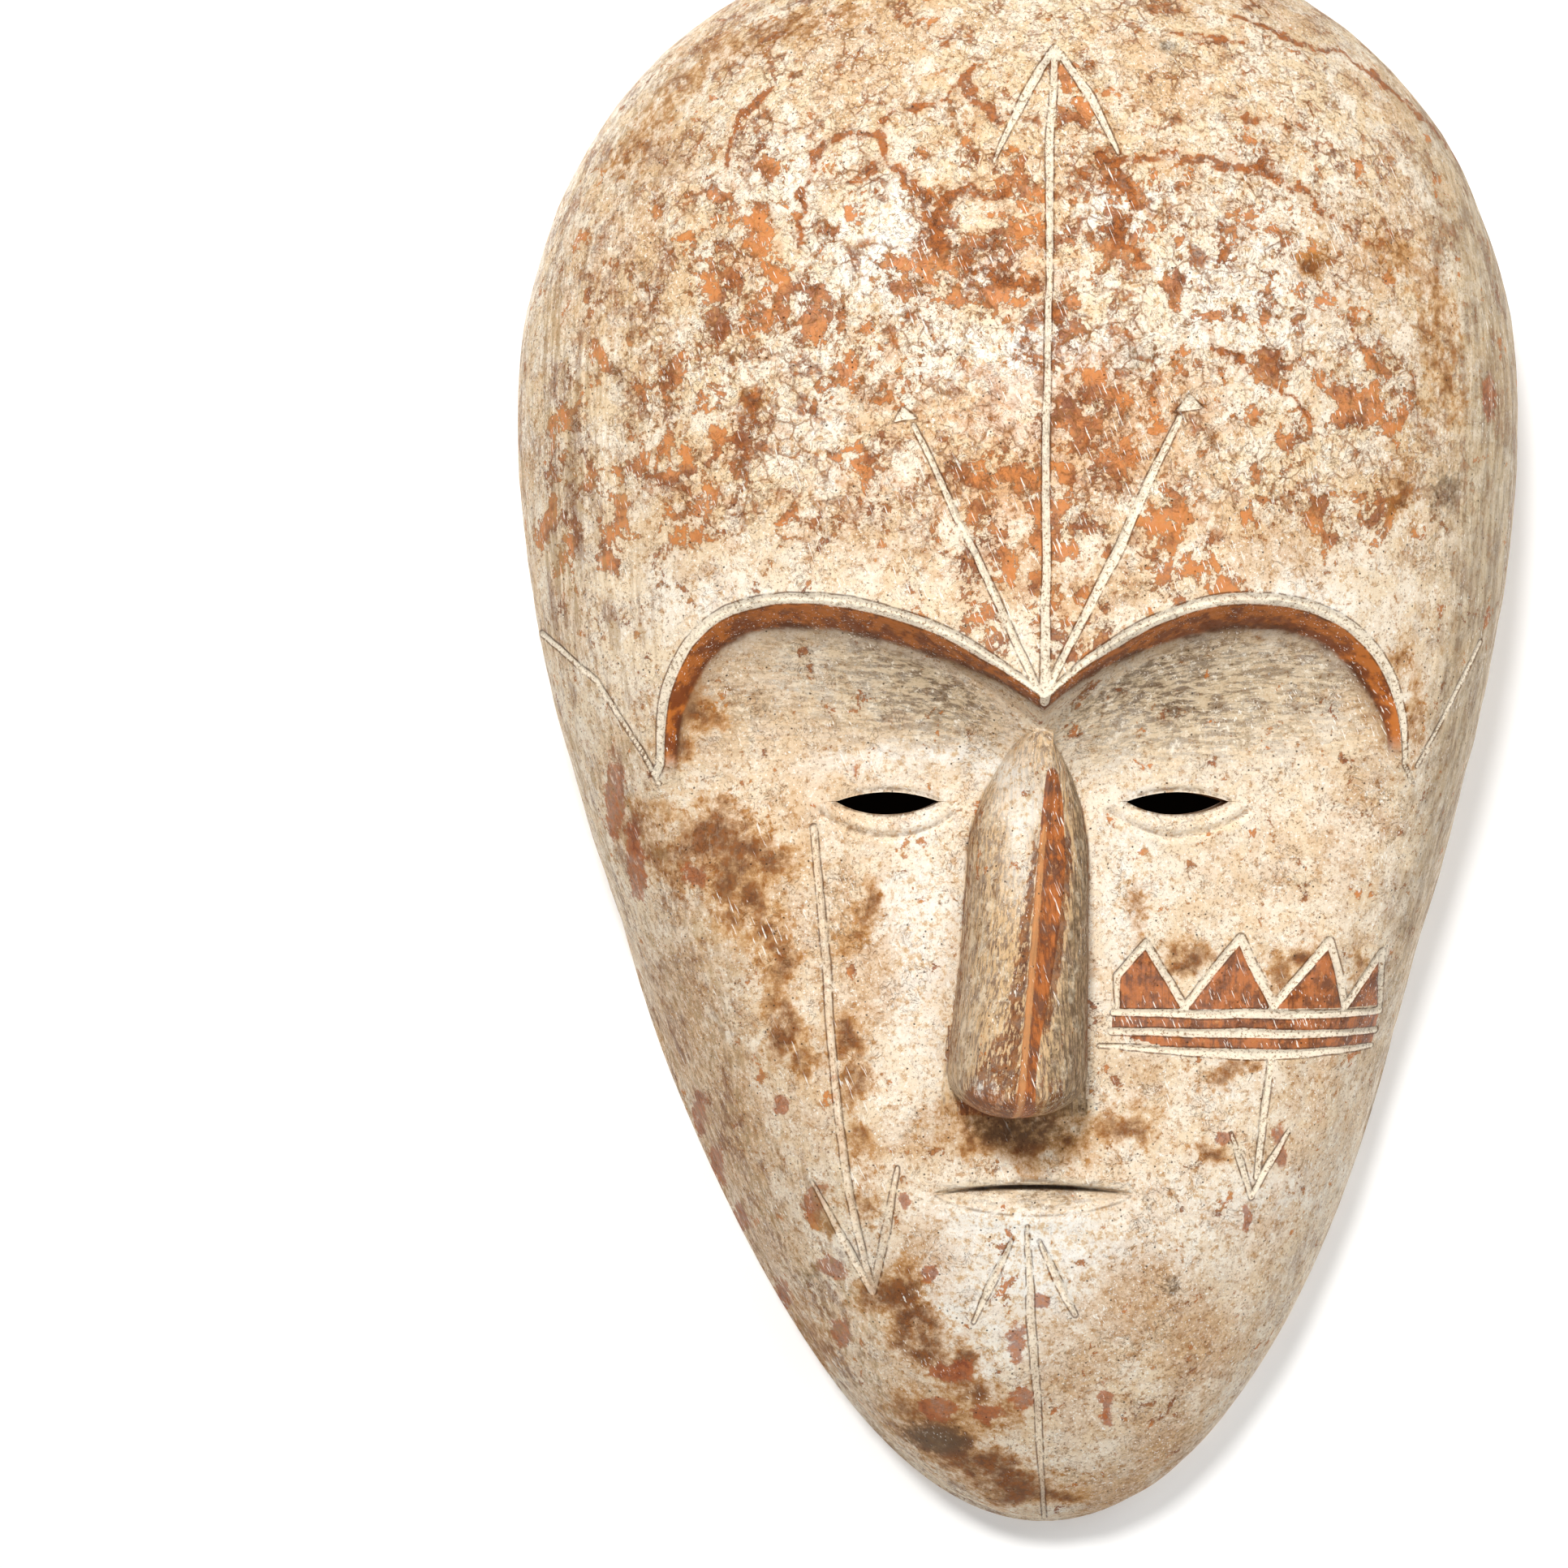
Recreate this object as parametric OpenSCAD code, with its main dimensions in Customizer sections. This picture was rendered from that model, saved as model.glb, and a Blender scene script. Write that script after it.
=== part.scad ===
// Carved wooden face mask with a hollowed back, hung by a hinged D-ring.
// The wall is the plane y = 0, the face looks along -Y, and the origin is the
// point on the wall where the hook carries the D-ring.

/* [Head] */
// Height of the mask from crown to chin
head_h = 488; // [470:2:510]
// Half of the greatest width
head_half_w = 150; // [140:1:160]
// Depth of the forehead, measured from the wall
forehead_d = 125; // [118:1:132]
// Distance of the widest point below the crown
widest_s = 150; // [140:1:160]
// Sideways lean of the chin
chin_lean = 11; // [0:1:14]

/* [Face] */
// Depth of the face plane at the root of the nose
face_d = 86; // [82:1:90]
// Distance of the brow arches below the crown
brow_s = 206; // [200:1:212]
// Height from the brow arches' tops down to where they meet
brow_drop = 28; // [24:1:32]
// Width of the steep band under the brows
brow_band = 6.5; // [5:0.5:9]

/* [Nose] */
// Distance of the root of the nose below the crown
nose_top_s = 242; // [238:1:246]
// Distance of the lower end of the nose below the crown
nose_end_s = 353; // [345:1:360]
// Half of the nose's width at its lower end
nose_half_w = 20; // [17:0.5:23]
// Height of the nose's tip above the face
nose_h = 50; // [44:1:54]

/* [Eyes and mouth] */
// Width of an eye slit
eye_w = 30; // [26:1:34]
// Height of an eye slit
eye_h = 6.6; // [6:0.2:8]
// Distance of the eye slits from the middle of the face
eye_x = 42; // [38:1:46]
// Width of the mouth
mouth_w = 56; // [48:1:60]

/* [Hollow back] */
// Distance of the hollow's upper end below the crown
hollow_top_s = 78; // [74:1:84]
// Wood left below the hollow at the chin
chin_wood = 27; // [22:1:32]
// Thickness of the rim at the widest point
rim_t = 16; // [14:1:20]
// Depth of the hollow behind the face
hollow_d = 70; // [62:1:71]

/* [Hanger] */
// Distance of the hook's seat below the crown
hook_s = 20; // [18:1:22]
// Width of the hanger strap
strap_w = 12; // [10:1:13]
// Thickness of the hanger strap
strap_t = 1.6; // [1.2:0.2:2]
// Diameter of the D-ring's wire
wire_dia = 2.4; // [2:0.2:2.8]
// Width of the D-ring's opening
ring_w = 14; // [13:0.5:15]
// Depth of the pocket that the hanger lies in
pocket_d = 6.5; // [6:0.5:8]

/* [Hidden] */

eps = 0.01;

// Rows and columns of the carved front and of the hollow: the hollow has a third as many rows.
rows_per_hollow_row = 3;
hollow_rows = 22;
front_rows = rows_per_hollow_row * hollow_rows;
hollow_cols = 22;
side_cols = 3;
cheek_cols = 21;
nose_cols = 8;
front_cols = 2 * (side_cols + cheek_cols + nose_cols);
saw_cut = 1; // wood behind the wall plane, sawn off flat

// The lower rim is bevelled out past the front surface, and the upper rim turns in.
cheek_flare = 1.03;
chin_flare = 1.01;
crown_tuck = 0.955;
chin_s = widest_s + (head_h - widest_s) / chin_flare;
roundness = 2.1; // 2 is an ellipse, and more is squarer
crest_s = 120; // the forehead's foremost point
crest_power = 1.7;
flank_upper_d = 40;
flank_lower_d = 10;
turn_start_s = 200;
turn_h = 150;
lean_start_s = 200;
lean_h = 280;
crown_power = 2.15;
chin_power = 1.5;

eye_s = 262.5;
eye_mid_x = 2;
mouth_s = 379.5;
mouth_x = 2.5;
mouth_h = 5.6;
mouth_cut = 4;

wire_r = wire_dia / 2;
ring_r = ring_w / 2 + wire_r;
ring_leg = 4;
knuckle_wall = 1;
knuckle_r = wire_r + knuckle_wall;
knuckle_play = 0.05;
pivot_y = -pocket_d + knuckle_r;
pivot_z = -(ring_leg + ring_r - wire_r);
strap_len = 26; // from the hinge to the middle of the round end
screw_drop = [9, 24]; // distances of the screws below the hinge
shank_r = 1.5;
shank_len = 14;
pilot_len = 15;
head_r = 3;
head_t = 1.8;
slot_w = 0.8;
slot_d = 0.9;
pocket_r = 12;
pocket_top_z = -5;
pocket_end_z = -38;

function clamp01(v) = min(1, max(0, v));
function smooth(v) = let (t = clamp01(v)) t * t * (3 - 2 * t);
function mix(a, b, t) = a + (b - a) * t;
function soft_min(a, b, k) = let (t = clamp01(0.5 + (b - a) / k / 2)) mix(b, a, t) - k * t * (1 - t);

// An egg's profile: 1 at its peak, 0 at its top and at its end.
function egg(s, top, peak, end, top_power, end_power) =
    s < peak
        ? pow(1 - pow(clamp01((peak - s) / (peak - top)), top_power), 1 / top_power)
        : sqrt(1 - pow(clamp01((s - peak) / (end - peak)), end_power));

// All shapes below are functions of x and of s, the distance below the crown.
function turn(s) = smooth((s - turn_start_s) / turn_h);
function lean(s) = chin_lean * smooth((s - lean_start_s) / lean_h);
function head_w(s) = head_half_w * egg(s, 0, widest_s, chin_s, crown_power, chin_power) * mix(1, 1 / cheek_flare, turn(s));
function flank_d(s) = mix(flank_upper_d, flank_lower_d, turn(s));
function crest_d(s) = mix(flank_d(s), forehead_d, egg(s, 0, crest_s, chin_s, crown_power, crest_power));

// The head before the face is cut.
function head_d(x, s) =
    let (across = clamp01(abs(x - lean(s)) / head_w(s)))
    mix(flank_d(s), crest_d(s), pow(1 - pow(across, roundness), 1 / roundness));

// The face plane, a little crowned from cheek to cheek and falling away at the chin.
function face_plane_d(x, s) =
    face_d - 0.06 * (s - nose_top_s) - 0.004 * pow(max(0, s - mouth_s), 2) - 8 * pow(x / 100, 2);

// The brow arches: a parabola from each peak in to the middle, and a round outer end.
brow_mid_x = 3;
// For the left and the right arch: distance from the middle to its peak, width and roundness of its outer end
brow_left = [70, 38, 2.5];
brow_right = [60, 45.5, 2.2];
brow_end_h = 46;
socket_h = 32;
function below_brow(x, s) =
    let (
        arch = x < brow_mid_x ? brow_left : brow_right,
        peak_x = arch[0],
        power = arch[2],
        out = abs(x - brow_mid_x) - peak_x,
        end_w = arch[1] + 0.5 * max(0, s - brow_s - brow_end_h),
        up = max(0, brow_s + brow_end_h - s) / brow_end_h
    )
    0.9 * (out < 0
        ? s - brow_s - brow_drop * pow(out / peak_x, 2)
        : brow_end_h * (1 - pow(pow(out / end_w, power) + pow(up, power), 1 / power)));
function brow_cut(x, s) =
    let (below = below_brow(x, s))
    below < brow_band
        ? 0.5 * clamp01(below / brow_band)
        : 1 - 0.5 * pow(1 - clamp01((below - brow_band) / socket_h), 2);

// The nose: two faces that meet in a leaning ridge, with round flanks and a round lower end.
function nose_u(s) = clamp01((s - nose_top_s) / (nose_end_s - nose_top_s));
function nose_w(s) =
    let (u = nose_u(s), point = 1 - pow(1 - clamp01(u / 0.35), 2))
    nose_half_w * (0.8 * pow(point, 0.75) + 0.2 * u);
function nose_mid(s) = 1.3 - 5 * nose_u(s);
function ridge_x(s) = 6.5 - 11.5 * nose_u(s);
function nose_half(s, side) = max(0.5, nose_w(s) + side * (nose_mid(s) - ridge_x(s)));
nose_round = 12;
nose_flank_power = 5;
nose_end_power = 3.5;
function nose_d(x, s) =
    let (
        u = nose_u(s),
        side = x < ridge_x(s) ? -1 : 1,
        across = abs(x - ridge_x(s)) / nose_half(s, side),
        down = clamp01((s - nose_end_s + nose_round) / nose_round),
        rise = nose_h * (0.24 * sqrt(min(1, u / 0.1)) + 0.76 * u)
    )
    u <= 0 || s >= nose_end_s ? 0
        : rise * (1 - 0.3 * across)
            * sqrt(max(0, 1 - pow(across, nose_flank_power) - pow(down, nose_end_power)));

// Depth of the carved front, measured from the wall.
function front_d(x, s) =
    let (head = head_d(x, s), face = soft_min(head, face_plane_d(x, s), 8))
    mix(head, face, brow_cut(x, s)) + nose_d(x, s);

// Rows: dense at the crown, under the brows, at the nose's end and at the chin.
row_breaks = [[0, 0], [12, 0.75 * widest_s], [20, brow_s - 6], [36, nose_top_s + 14], [48, nose_end_s - nose_round],
              [53, nose_end_s + eps], [60, 430], [66, chin_s]];
crown_s = 0.25;
chin_gap = 0.3;
function row_step(i, k = 0) = i <= row_breaks[k + 1][0] ? k : row_step(i, k + 1);
function row_s(i) =
    let (
        k = row_step(i),
        a = row_breaks[k],
        b = row_breaks[k + 1],
        t = (i - a[0]) / (b[0] - a[0]),
        dense_end = k == 4 || k == 6,
        bent = k == 0 ? 1 - cos(90 * t) : dense_end ? sin(90 * t) : t
    )
    min(chin_s - chin_gap, max(crown_s, mix(a[1], b[1], bent)));

// Columns: the middle ones follow the nose's flanks, and the outer ones crowd at the edge of the head.
function core_half(s, side) =
    min(0.3 * head_w(s), s < nose_top_s ? mix(10, 24, smooth((nose_top_s - s) / 50)) : max(7, nose_half(s, side)));
function core_x(s) =
    let (nose_s = (nose_top_s + nose_end_s) / 2)
    mix(ridge_x(s), lean(s), smooth((abs(s - nose_s) - (nose_s - nose_top_s)) / 90));
function front_point(i, j) =
    let (
        s = row_s(i),
        side = j < front_cols / 2 ? -1 : 1,
        k = abs(j - front_cols / 2),
        core = core_half(s, side),
        mid = core_x(s),
        edge = head_w(s) + side * (lean(s) - mid),
        t = (k - nose_cols) / cheek_cols,
        x = k <= nose_cols
            ? mid + side * core * sin(90 * k / nose_cols)
            : mid + side * mix(core, edge, mix(t, sin(90 * t), smooth(t)))
    )
    [x, -front_d(x, s), s];
function side_point(i, k, side) =
    let (
        s = row_s(i),
        d = mix(-saw_cut, flank_d(s), k / side_cols),
        low = turn(s),
        edge = pow(1 - clamp01(d / flank_d(s)), mix(2, 1, low)),
        scale_x = mix(1, mix(crown_tuck, cheek_flare, low), edge),
        scale_s = mix(1, mix(crown_tuck, chin_flare, low), edge)
    )
    [lean(s) + side * head_w(s) * scale_x, -d, widest_s + (s - widest_s) * scale_s];
function shell_point(i, j) =
    j < side_cols ? side_point(i, j, -1)
        : j > front_cols - side_cols ? side_point(i, front_cols - j, 1)
        : front_point(i, j);

// The hollow, from edge to edge of its opening.
hollow_end_s = head_h - chin_wood;
hollow_crest = 36; // extra depth behind the forehead
hollow_crest_h = 55;
function hollow_s(i) =
    let (t = i / hollow_rows) mix(hollow_top_s + 0.2, hollow_end_s - 0.3, (1 - cos(180 * t)) / 2);
function hollow_point(i, j) =
    let (
        s = hollow_s(i),
        w = (head_half_w - rim_t) * egg(s, hollow_top_s, widest_s, hollow_end_s, crown_power, chin_power),
        crest = hollow_d + hollow_crest * exp(-pow((s - widest_s) / hollow_crest_h, 2)),
        d = crest * egg(s, hollow_top_s, widest_s, hollow_end_s, 2.5, 3),
        a = 180 * j / hollow_cols,
        at_edge = j == 0 || j == hollow_cols
    )
    [lean(s) - w * cos(a), at_edge ? saw_cut : -d * pow(sin(a), 0.55), s];

shell_points = concat(
    [for (i = [0:front_rows]) for (j = [0:front_cols]) shell_point(i, j)],
    [for (i = [0:hollow_rows]) for (j = [0:hollow_cols]) hollow_point(i, j)]
);
function f(i, j) = i * (front_cols + 1) + j;
function h(i, j) = (front_rows + 1) * (front_cols + 1) + i * (hollow_cols + 1) + j;
function quad(a, b, c, d) = [[a, b, c], [a, c, d]];

front_faces = [for (i = [0:front_rows - 1]) for (j = [0:front_cols - 1])
    each quad(f(i, j), f(i, j + 1), f(i + 1, j + 1), f(i + 1, j))];
hollow_faces = [for (i = [0:hollow_rows - 1]) for (j = [0:hollow_cols - 1])
    each quad(h(i, j), h(i + 1, j), h(i + 1, j + 1), h(i, j + 1))];
// The crown and the chin are closed between each column and its mirror image.
end_faces = concat(
    [for (j = [0:front_cols / 2 - 2])
        each quad(f(0, j), f(0, front_cols - j), f(0, front_cols - j - 1), f(0, j + 1))],
    [for (j = [0:front_cols / 2 - 2])
        each quad(f(front_rows, j), f(front_rows, j + 1), f(front_rows, front_cols - j - 1),
                  f(front_rows, front_cols - j))],
    [[f(0, front_cols / 2 - 1), f(0, front_cols / 2 + 1), f(0, front_cols / 2)],
     [f(front_rows, front_cols / 2 - 1), f(front_rows, front_cols / 2), f(front_rows, front_cols / 2 + 1)],
     [for (j = [0:hollow_cols]) h(0, j)],
     [for (j = [hollow_cols:-1:0]) h(hollow_rows, j)]]
);
rim_faces = concat(
    [for (i = [0:hollow_rows - 1])
        concat([h(i + 1, 0), h(i, 0)], [for (k = [0:rows_per_hollow_row]) f(rows_per_hollow_row * i + k, 0)])],
    [for (i = [0:hollow_rows - 1])
        concat([h(i, hollow_cols), h(i + 1, hollow_cols)],
               [for (k = [rows_per_hollow_row:-1:0]) f(rows_per_hollow_row * i + k, front_cols)])],
    [[f(0, front_cols), f(0, 0), h(0, 0), h(0, hollow_cols)],
     [h(hollow_rows, hollow_cols), h(hollow_rows, 0), f(front_rows, 0), f(front_rows, front_cols)]]
);

// Stands a point with its distance below the crown up along Z.
function upright(p) = [p[0], p[1], hook_s - p[2]];

// A pointed oval of two arcs, cut along Y from front to back.
module lens(w, h, back, front) {
    arc_r = (pow(w / 2, 2) + pow(h / 2, 2)) / h;
    translate([0, back, 0])
        rotate([90, 0, 0])
            intersection() {
                translate([0, arc_r - h / 2, 0]) cylinder(r = arc_r, h = front + back, $fn = 96);
                translate([0, h / 2 - arc_r, 0]) cylinder(r = arc_r, h = front + back, $fn = 96);
            }
}

module along_y(r, from, to, fn = 48) {
    translate([0, from, 0]) rotate([-90, 0, 0]) cylinder(r = r, h = to - from, $fn = fn);
}

module mask_shell() {
    color("antiquewhite")
        difference() {
            polyhedron(
                points = [for (p = shell_points) upright(p)],
                faces = concat(front_faces, hollow_faces, end_faces, rim_faces),
                convexity = 8
            );
            // Back sawn flat to lie on the wall
            translate([-head_h, 0, -head_h]) cube([2 * head_h, 3 * saw_cut, 2 * head_h]);
            // Eye slits
            for (side = [-1, 1])
                translate([eye_mid_x + side * eye_x, 0, hook_s - eye_s])
                    lens(eye_w, eye_h, 10, forehead_d);
            // Mouth, cut into the face but not through it
            translate([mouth_x, -face_plane_d(0, mouth_s) + mouth_cut, hook_s - mouth_s])
                lens(mouth_w, mouth_h, 0, 30);
            // Pocket for the hanger, with round ends
            translate([0, 0, pocket_top_z]) along_y(pocket_r, -pocket_d, 5);
            translate([0, 0, pocket_end_z]) along_y(pocket_r, -pocket_d, 5);
            translate([-pocket_r, -pocket_d, pocket_end_z])
                cube([2 * pocket_r, pocket_d + 5, pocket_top_z - pocket_end_z]);
            // Pilot holes
            for (drop = screw_drop)
                translate([0, 0, pivot_z - drop]) along_y(shank_r, -pocket_d - pilot_len, -pocket_d + eps);
        }
}

module hanger_strap() {
    color("silver")
        difference() {
            union() {
                translate([-strap_w / 2, -pocket_d, pivot_z - strap_len])
                    cube([strap_w, strap_t, strap_len]);
                translate([0, 0, pivot_z - strap_len])
                    along_y(strap_w / 2, -pocket_d, -pocket_d + strap_t);
                translate([-strap_w / 2, pivot_y, pivot_z])
                    rotate([0, 90, 0]) cylinder(r = knuckle_r, h = strap_w, $fn = 48);
            }
            translate([-strap_w, pivot_y, pivot_z])
                rotate([0, 90, 0]) cylinder(r = wire_r + knuckle_play, h = 2 * strap_w, $fn = 48);
            for (drop = screw_drop)
                translate([0, 0, pivot_z - drop]) along_y(shank_r, -2 * pocket_d, 0);
        }
}

module hanger_ring() {
    color("silver")
        translate([0, pivot_y, pivot_z]) {
            translate([-ring_r, 0, 0]) rotate([0, 90, 0]) cylinder(r = wire_r, h = 2 * ring_r, $fn = 48);
            for (side = [-1, 1]) {
                translate([side * ring_r, 0, 0]) sphere(r = wire_r, $fn = 48);
                translate([side * ring_r, 0, 0]) cylinder(r = wire_r, h = ring_leg, $fn = 48);
            }
            translate([0, 0, ring_leg])
                rotate([90, 0, 0])
                    rotate_extrude(angle = 180, $fn = 96)
                        translate([ring_r, 0]) circle(r = wire_r, $fn = 48);
        }
}

// A round-headed wood screw with a slot, driven in towards the face.
module strap_screw(drop) {
    head_y = -pocket_d + strap_t;
    dome_r = (head_r * head_r + head_t * head_t) / (2 * head_t);
    color("silver")
        translate([0, head_y, pivot_z - drop]) {
            along_y(shank_r, -strap_t - shank_len, 0, 48);
            difference() {
                intersection() {
                    along_y(head_r, 0, head_t);
                    translate([0, head_t - dome_r, 0]) sphere(r = dome_r, $fn = 96);
                }
                translate([-head_r, head_t - slot_d, -slot_w / 2]) cube([2 * head_r, slot_d + eps, slot_w]);
            }
        }
}

module strap_screw_upper() { strap_screw(screw_drop[0]); }

module strap_screw_lower() { strap_screw(screw_drop[1]); }

mask_shell();
hanger_strap();
hanger_ring();
strap_screw_upper();
strap_screw_lower();
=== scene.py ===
import math
from functools import cached_property

import bpy
import numpy as np
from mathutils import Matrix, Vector


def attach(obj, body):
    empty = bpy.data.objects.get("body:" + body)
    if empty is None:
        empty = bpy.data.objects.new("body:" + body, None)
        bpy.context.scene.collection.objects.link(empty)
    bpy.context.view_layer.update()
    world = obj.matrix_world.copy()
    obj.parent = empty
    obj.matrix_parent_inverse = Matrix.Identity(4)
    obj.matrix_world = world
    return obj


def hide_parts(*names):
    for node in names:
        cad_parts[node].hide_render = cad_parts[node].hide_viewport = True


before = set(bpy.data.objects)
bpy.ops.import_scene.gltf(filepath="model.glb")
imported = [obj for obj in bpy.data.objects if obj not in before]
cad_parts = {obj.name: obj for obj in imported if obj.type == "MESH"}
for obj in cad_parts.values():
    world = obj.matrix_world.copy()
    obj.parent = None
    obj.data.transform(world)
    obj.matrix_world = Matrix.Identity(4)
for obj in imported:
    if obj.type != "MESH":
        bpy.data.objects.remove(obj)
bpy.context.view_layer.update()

MM = 0.001
SEED = 7

# ---------------------------------------------------------------------------
# The carved surface, as functions of x and of s, the distance below the crown.
# All lengths here are in millimetres, and a depth d is measured from the wall.
# ---------------------------------------------------------------------------

HOOK_S = 20.0
HEAD_H, HEAD_HALF_W, FOREHEAD_D = 488.0, 150.0, 125.0
WIDEST_S, CHIN_LEAN = 150.0, 11.0
FACE_D, BROW_S, BROW_DROP, BROW_BAND = 86.0, 206.0, 28.0, 6.5
NOSE_TOP_S, NOSE_END_S, NOSE_HALF_W, NOSE_H, NOSE_ROUND = 242.0, 353.0, 20.0, 50.0, 12.0
CHEEK_FLARE, CHIN_FLARE, CROWN_TUCK = 1.03, 1.01, 0.955
CHIN_S = WIDEST_S + (HEAD_H - WIDEST_S) / CHIN_FLARE
FLANK_UPPER_D, FLANK_LOWER_D, ROUNDNESS = 40.0, 10.0, 2.1
MOUTH_S = 379.5
EYE_S, EYE_X, EYE_MID_X, EYE_W, EYE_H = 262.5, 42.0, 2.0, 30.0, 6.6


def clamp01(v):
    return np.clip(v, 0.0, 1.0)


def smooth(v):
    t = clamp01(v)
    return t * t * (3 - 2 * t)


def mix(a, b, t):
    return a + (b - a) * t


def soft_min(a, b, k):
    """The smaller of the two, rounded over where they differ by less than k."""
    t = clamp01(0.5 + (b - a) / k / 2)
    return mix(b, a, t) - k * t * (1 - t)


def egg(s, top, peak, end, top_power, end_power):
    """An egg's outline: 0 at the top, 1 at the peak, and 0 again at the end."""
    up = (1 - clamp01((peak - s) / (peak - top)) ** top_power) ** (1 / top_power)
    down = np.sqrt(1 - clamp01((s - peak) / (end - peak)) ** end_power)
    return np.where(s < peak, up, down)


def turn(s):
    """0 at the temples, 1 at the jaw."""
    return smooth((s - 200) / 150)


def lean(s):
    """How far the middle of the head is to the right at s."""
    return CHIN_LEAN * smooth((s - 200) / 280)


def head_w(s):
    return HEAD_HALF_W * egg(s, 0, WIDEST_S, CHIN_S, 2.15, 1.5) * mix(1, 1 / CHEEK_FLARE, turn(s))


def flank_d(s):
    return mix(FLANK_UPPER_D, FLANK_LOWER_D, turn(s))


def head_d(x, s):
    """The head's depth before the face is cut back."""
    crest = mix(flank_d(s), FOREHEAD_D, egg(s, 0, 120, CHIN_S, 2.15, 1.7))
    across = clamp01(np.abs(x - lean(s)) / np.maximum(head_w(s), 1e-6))
    return mix(flank_d(s), crest, (1 - across ** ROUNDNESS) ** (1 / ROUNDNESS))


def face_plane_d(x, s):
    return FACE_D - 0.06 * (s - NOSE_TOP_S) - 0.004 * np.maximum(0, s - MOUTH_S) ** 2 - 8 * (x / 100) ** 2


BROW_MID_X, BROW_END_H = 3.0, 46.0
BROW_LEFT, BROW_RIGHT = (70.0, 38.0, 2.5), (60.0, 45.5, 2.2)  # peak's distance, end's width and roundness


def below_brow(x, s):
    """Millimetres below the brow arches' edge, and negative above it."""
    peak_x, end_w, power = (np.where(x < BROW_MID_X, a, b) for a, b in zip(BROW_LEFT, BROW_RIGHT))
    out = np.abs(x - BROW_MID_X) - peak_x
    end_w = end_w + 0.5 * np.maximum(0, s - BROW_S - BROW_END_H)
    up = np.maximum(0, BROW_S + BROW_END_H - s) / BROW_END_H
    inner = s - BROW_S - BROW_DROP * (out / peak_x) ** 2
    outer = BROW_END_H * (1 - ((np.maximum(out, 0) / end_w) ** power + up**power) ** (1 / power))
    return 0.9 * np.where(out < 0, inner, outer)


def brow_cut(x, s):
    """How far the head is cut back to the face plane, from 0 to 1: a step under the brow, then the socket."""
    below = below_brow(x, s)
    band = 0.5 * clamp01(below / BROW_BAND)
    socket = 1 - 0.5 * (1 - clamp01((below - BROW_BAND) / 32)) ** 2
    return np.where(below < BROW_BAND, band, socket)


def nose_u(s):
    """0 at the nose's root, 1 at its lower end."""
    return clamp01((s - NOSE_TOP_S) / (NOSE_END_S - NOSE_TOP_S))


def nose_mid(s):
    return 1.3 - 5 * nose_u(s)


def ridge_x(s):
    return 6.5 - 11.5 * nose_u(s)


def nose_half(s, side):
    """Half-width of the nose on one side of its ridge; the left side flares a little at its lower end."""
    u = nose_u(s)
    point = 1 - (1 - clamp01(u / 0.35)) ** 2
    w = NOSE_HALF_W * (0.8 * point**0.75 + 0.2 * u)
    flare = np.where(np.asarray(side) < 0, 1.0 * smooth((s - 308) / 26) - 0.6 * smooth((s - 270) / 30), 1.2)
    return np.maximum(0.5, w + side * (nose_mid(s) - ridge_x(s)) + flare)


def nose_across(x, s):
    """0 on the nose's ridge, 1 at its side."""
    return np.abs(x - ridge_x(s)) / nose_half(s, np.where(x < ridge_x(s), -1, 1))


def nose_d(x, s):
    """How far the nose stands out of the face, with a low crest along its ridge."""
    u = nose_u(s)
    across = nose_across(x, s)
    end = NOSE_END_S - 3.5 * across**2.5
    down = clamp01((s - end + NOSE_ROUND) / NOSE_ROUND)
    rise = NOSE_H * (0.24 * np.sqrt(np.minimum(1, u / 0.1)) + 0.76 * u)
    body = rise * (1 - 0.3 * across) * np.sqrt(np.maximum(0, 1 - across ** mix(5, 2.4, down) - down**3.2))
    crest = 0.9 * np.exp(-(((x - ridge_x(s)) / 1.5) ** 2)) * smooth((s - 250) / 10) * smooth((end - s) / 4)
    return np.where((u <= 0) | (s >= end), 0, body + crest)


def front_d(x, s):
    """The carved front's depth, before the engraving."""
    head = head_d(x, s)
    face = soft_min(head, face_plane_d(x, s), 8)
    return mix(head, face, brow_cut(x, s)) + nose_d(x, s)


# ---------------------------------------------------------------------------
# Noise in numpy, from hashed lattice points, so that every run is the same.
# ---------------------------------------------------------------------------


def hashed(ix, iy, iz, salt):
    """A number from 0 to 1 for each whole-numbered lattice point."""
    h = (ix.astype(np.int64) * 374761393 + iy.astype(np.int64) * 668265263
         + iz.astype(np.int64) * 2147483647 + (salt + SEED) * 974634777) & 0xFFFFFFFF
    h = ((h ^ (h >> 13)) * 1274126177) & 0xFFFFFFFF
    h = ((h ^ (h >> 16)) * 2246822519) & 0xFFFFFFFF
    return ((h ^ (h >> 15)) & 0xFFFFFF) / float(0xFFFFFF)


def noise3(p, size, salt=0):
    """Smooth value noise from -1 to 1 at points p, with cells of that size in millimetres."""
    q = p / size
    base = np.floor(q).astype(np.int64)
    t = q - base
    t = t * t * (3 - 2 * t)
    total = 0
    for dx in (0, 1):
        for dy in (0, 1):
            for dz in (0, 1):
                weight = ((t[..., 0] if dx else 1 - t[..., 0]) * (t[..., 1] if dy else 1 - t[..., 1])
                          * (t[..., 2] if dz else 1 - t[..., 2]))
                total = total + weight * hashed(base[..., 0] + dx, base[..., 1] + dy, base[..., 2] + dz, salt)
    return total * 2 - 1


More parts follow.
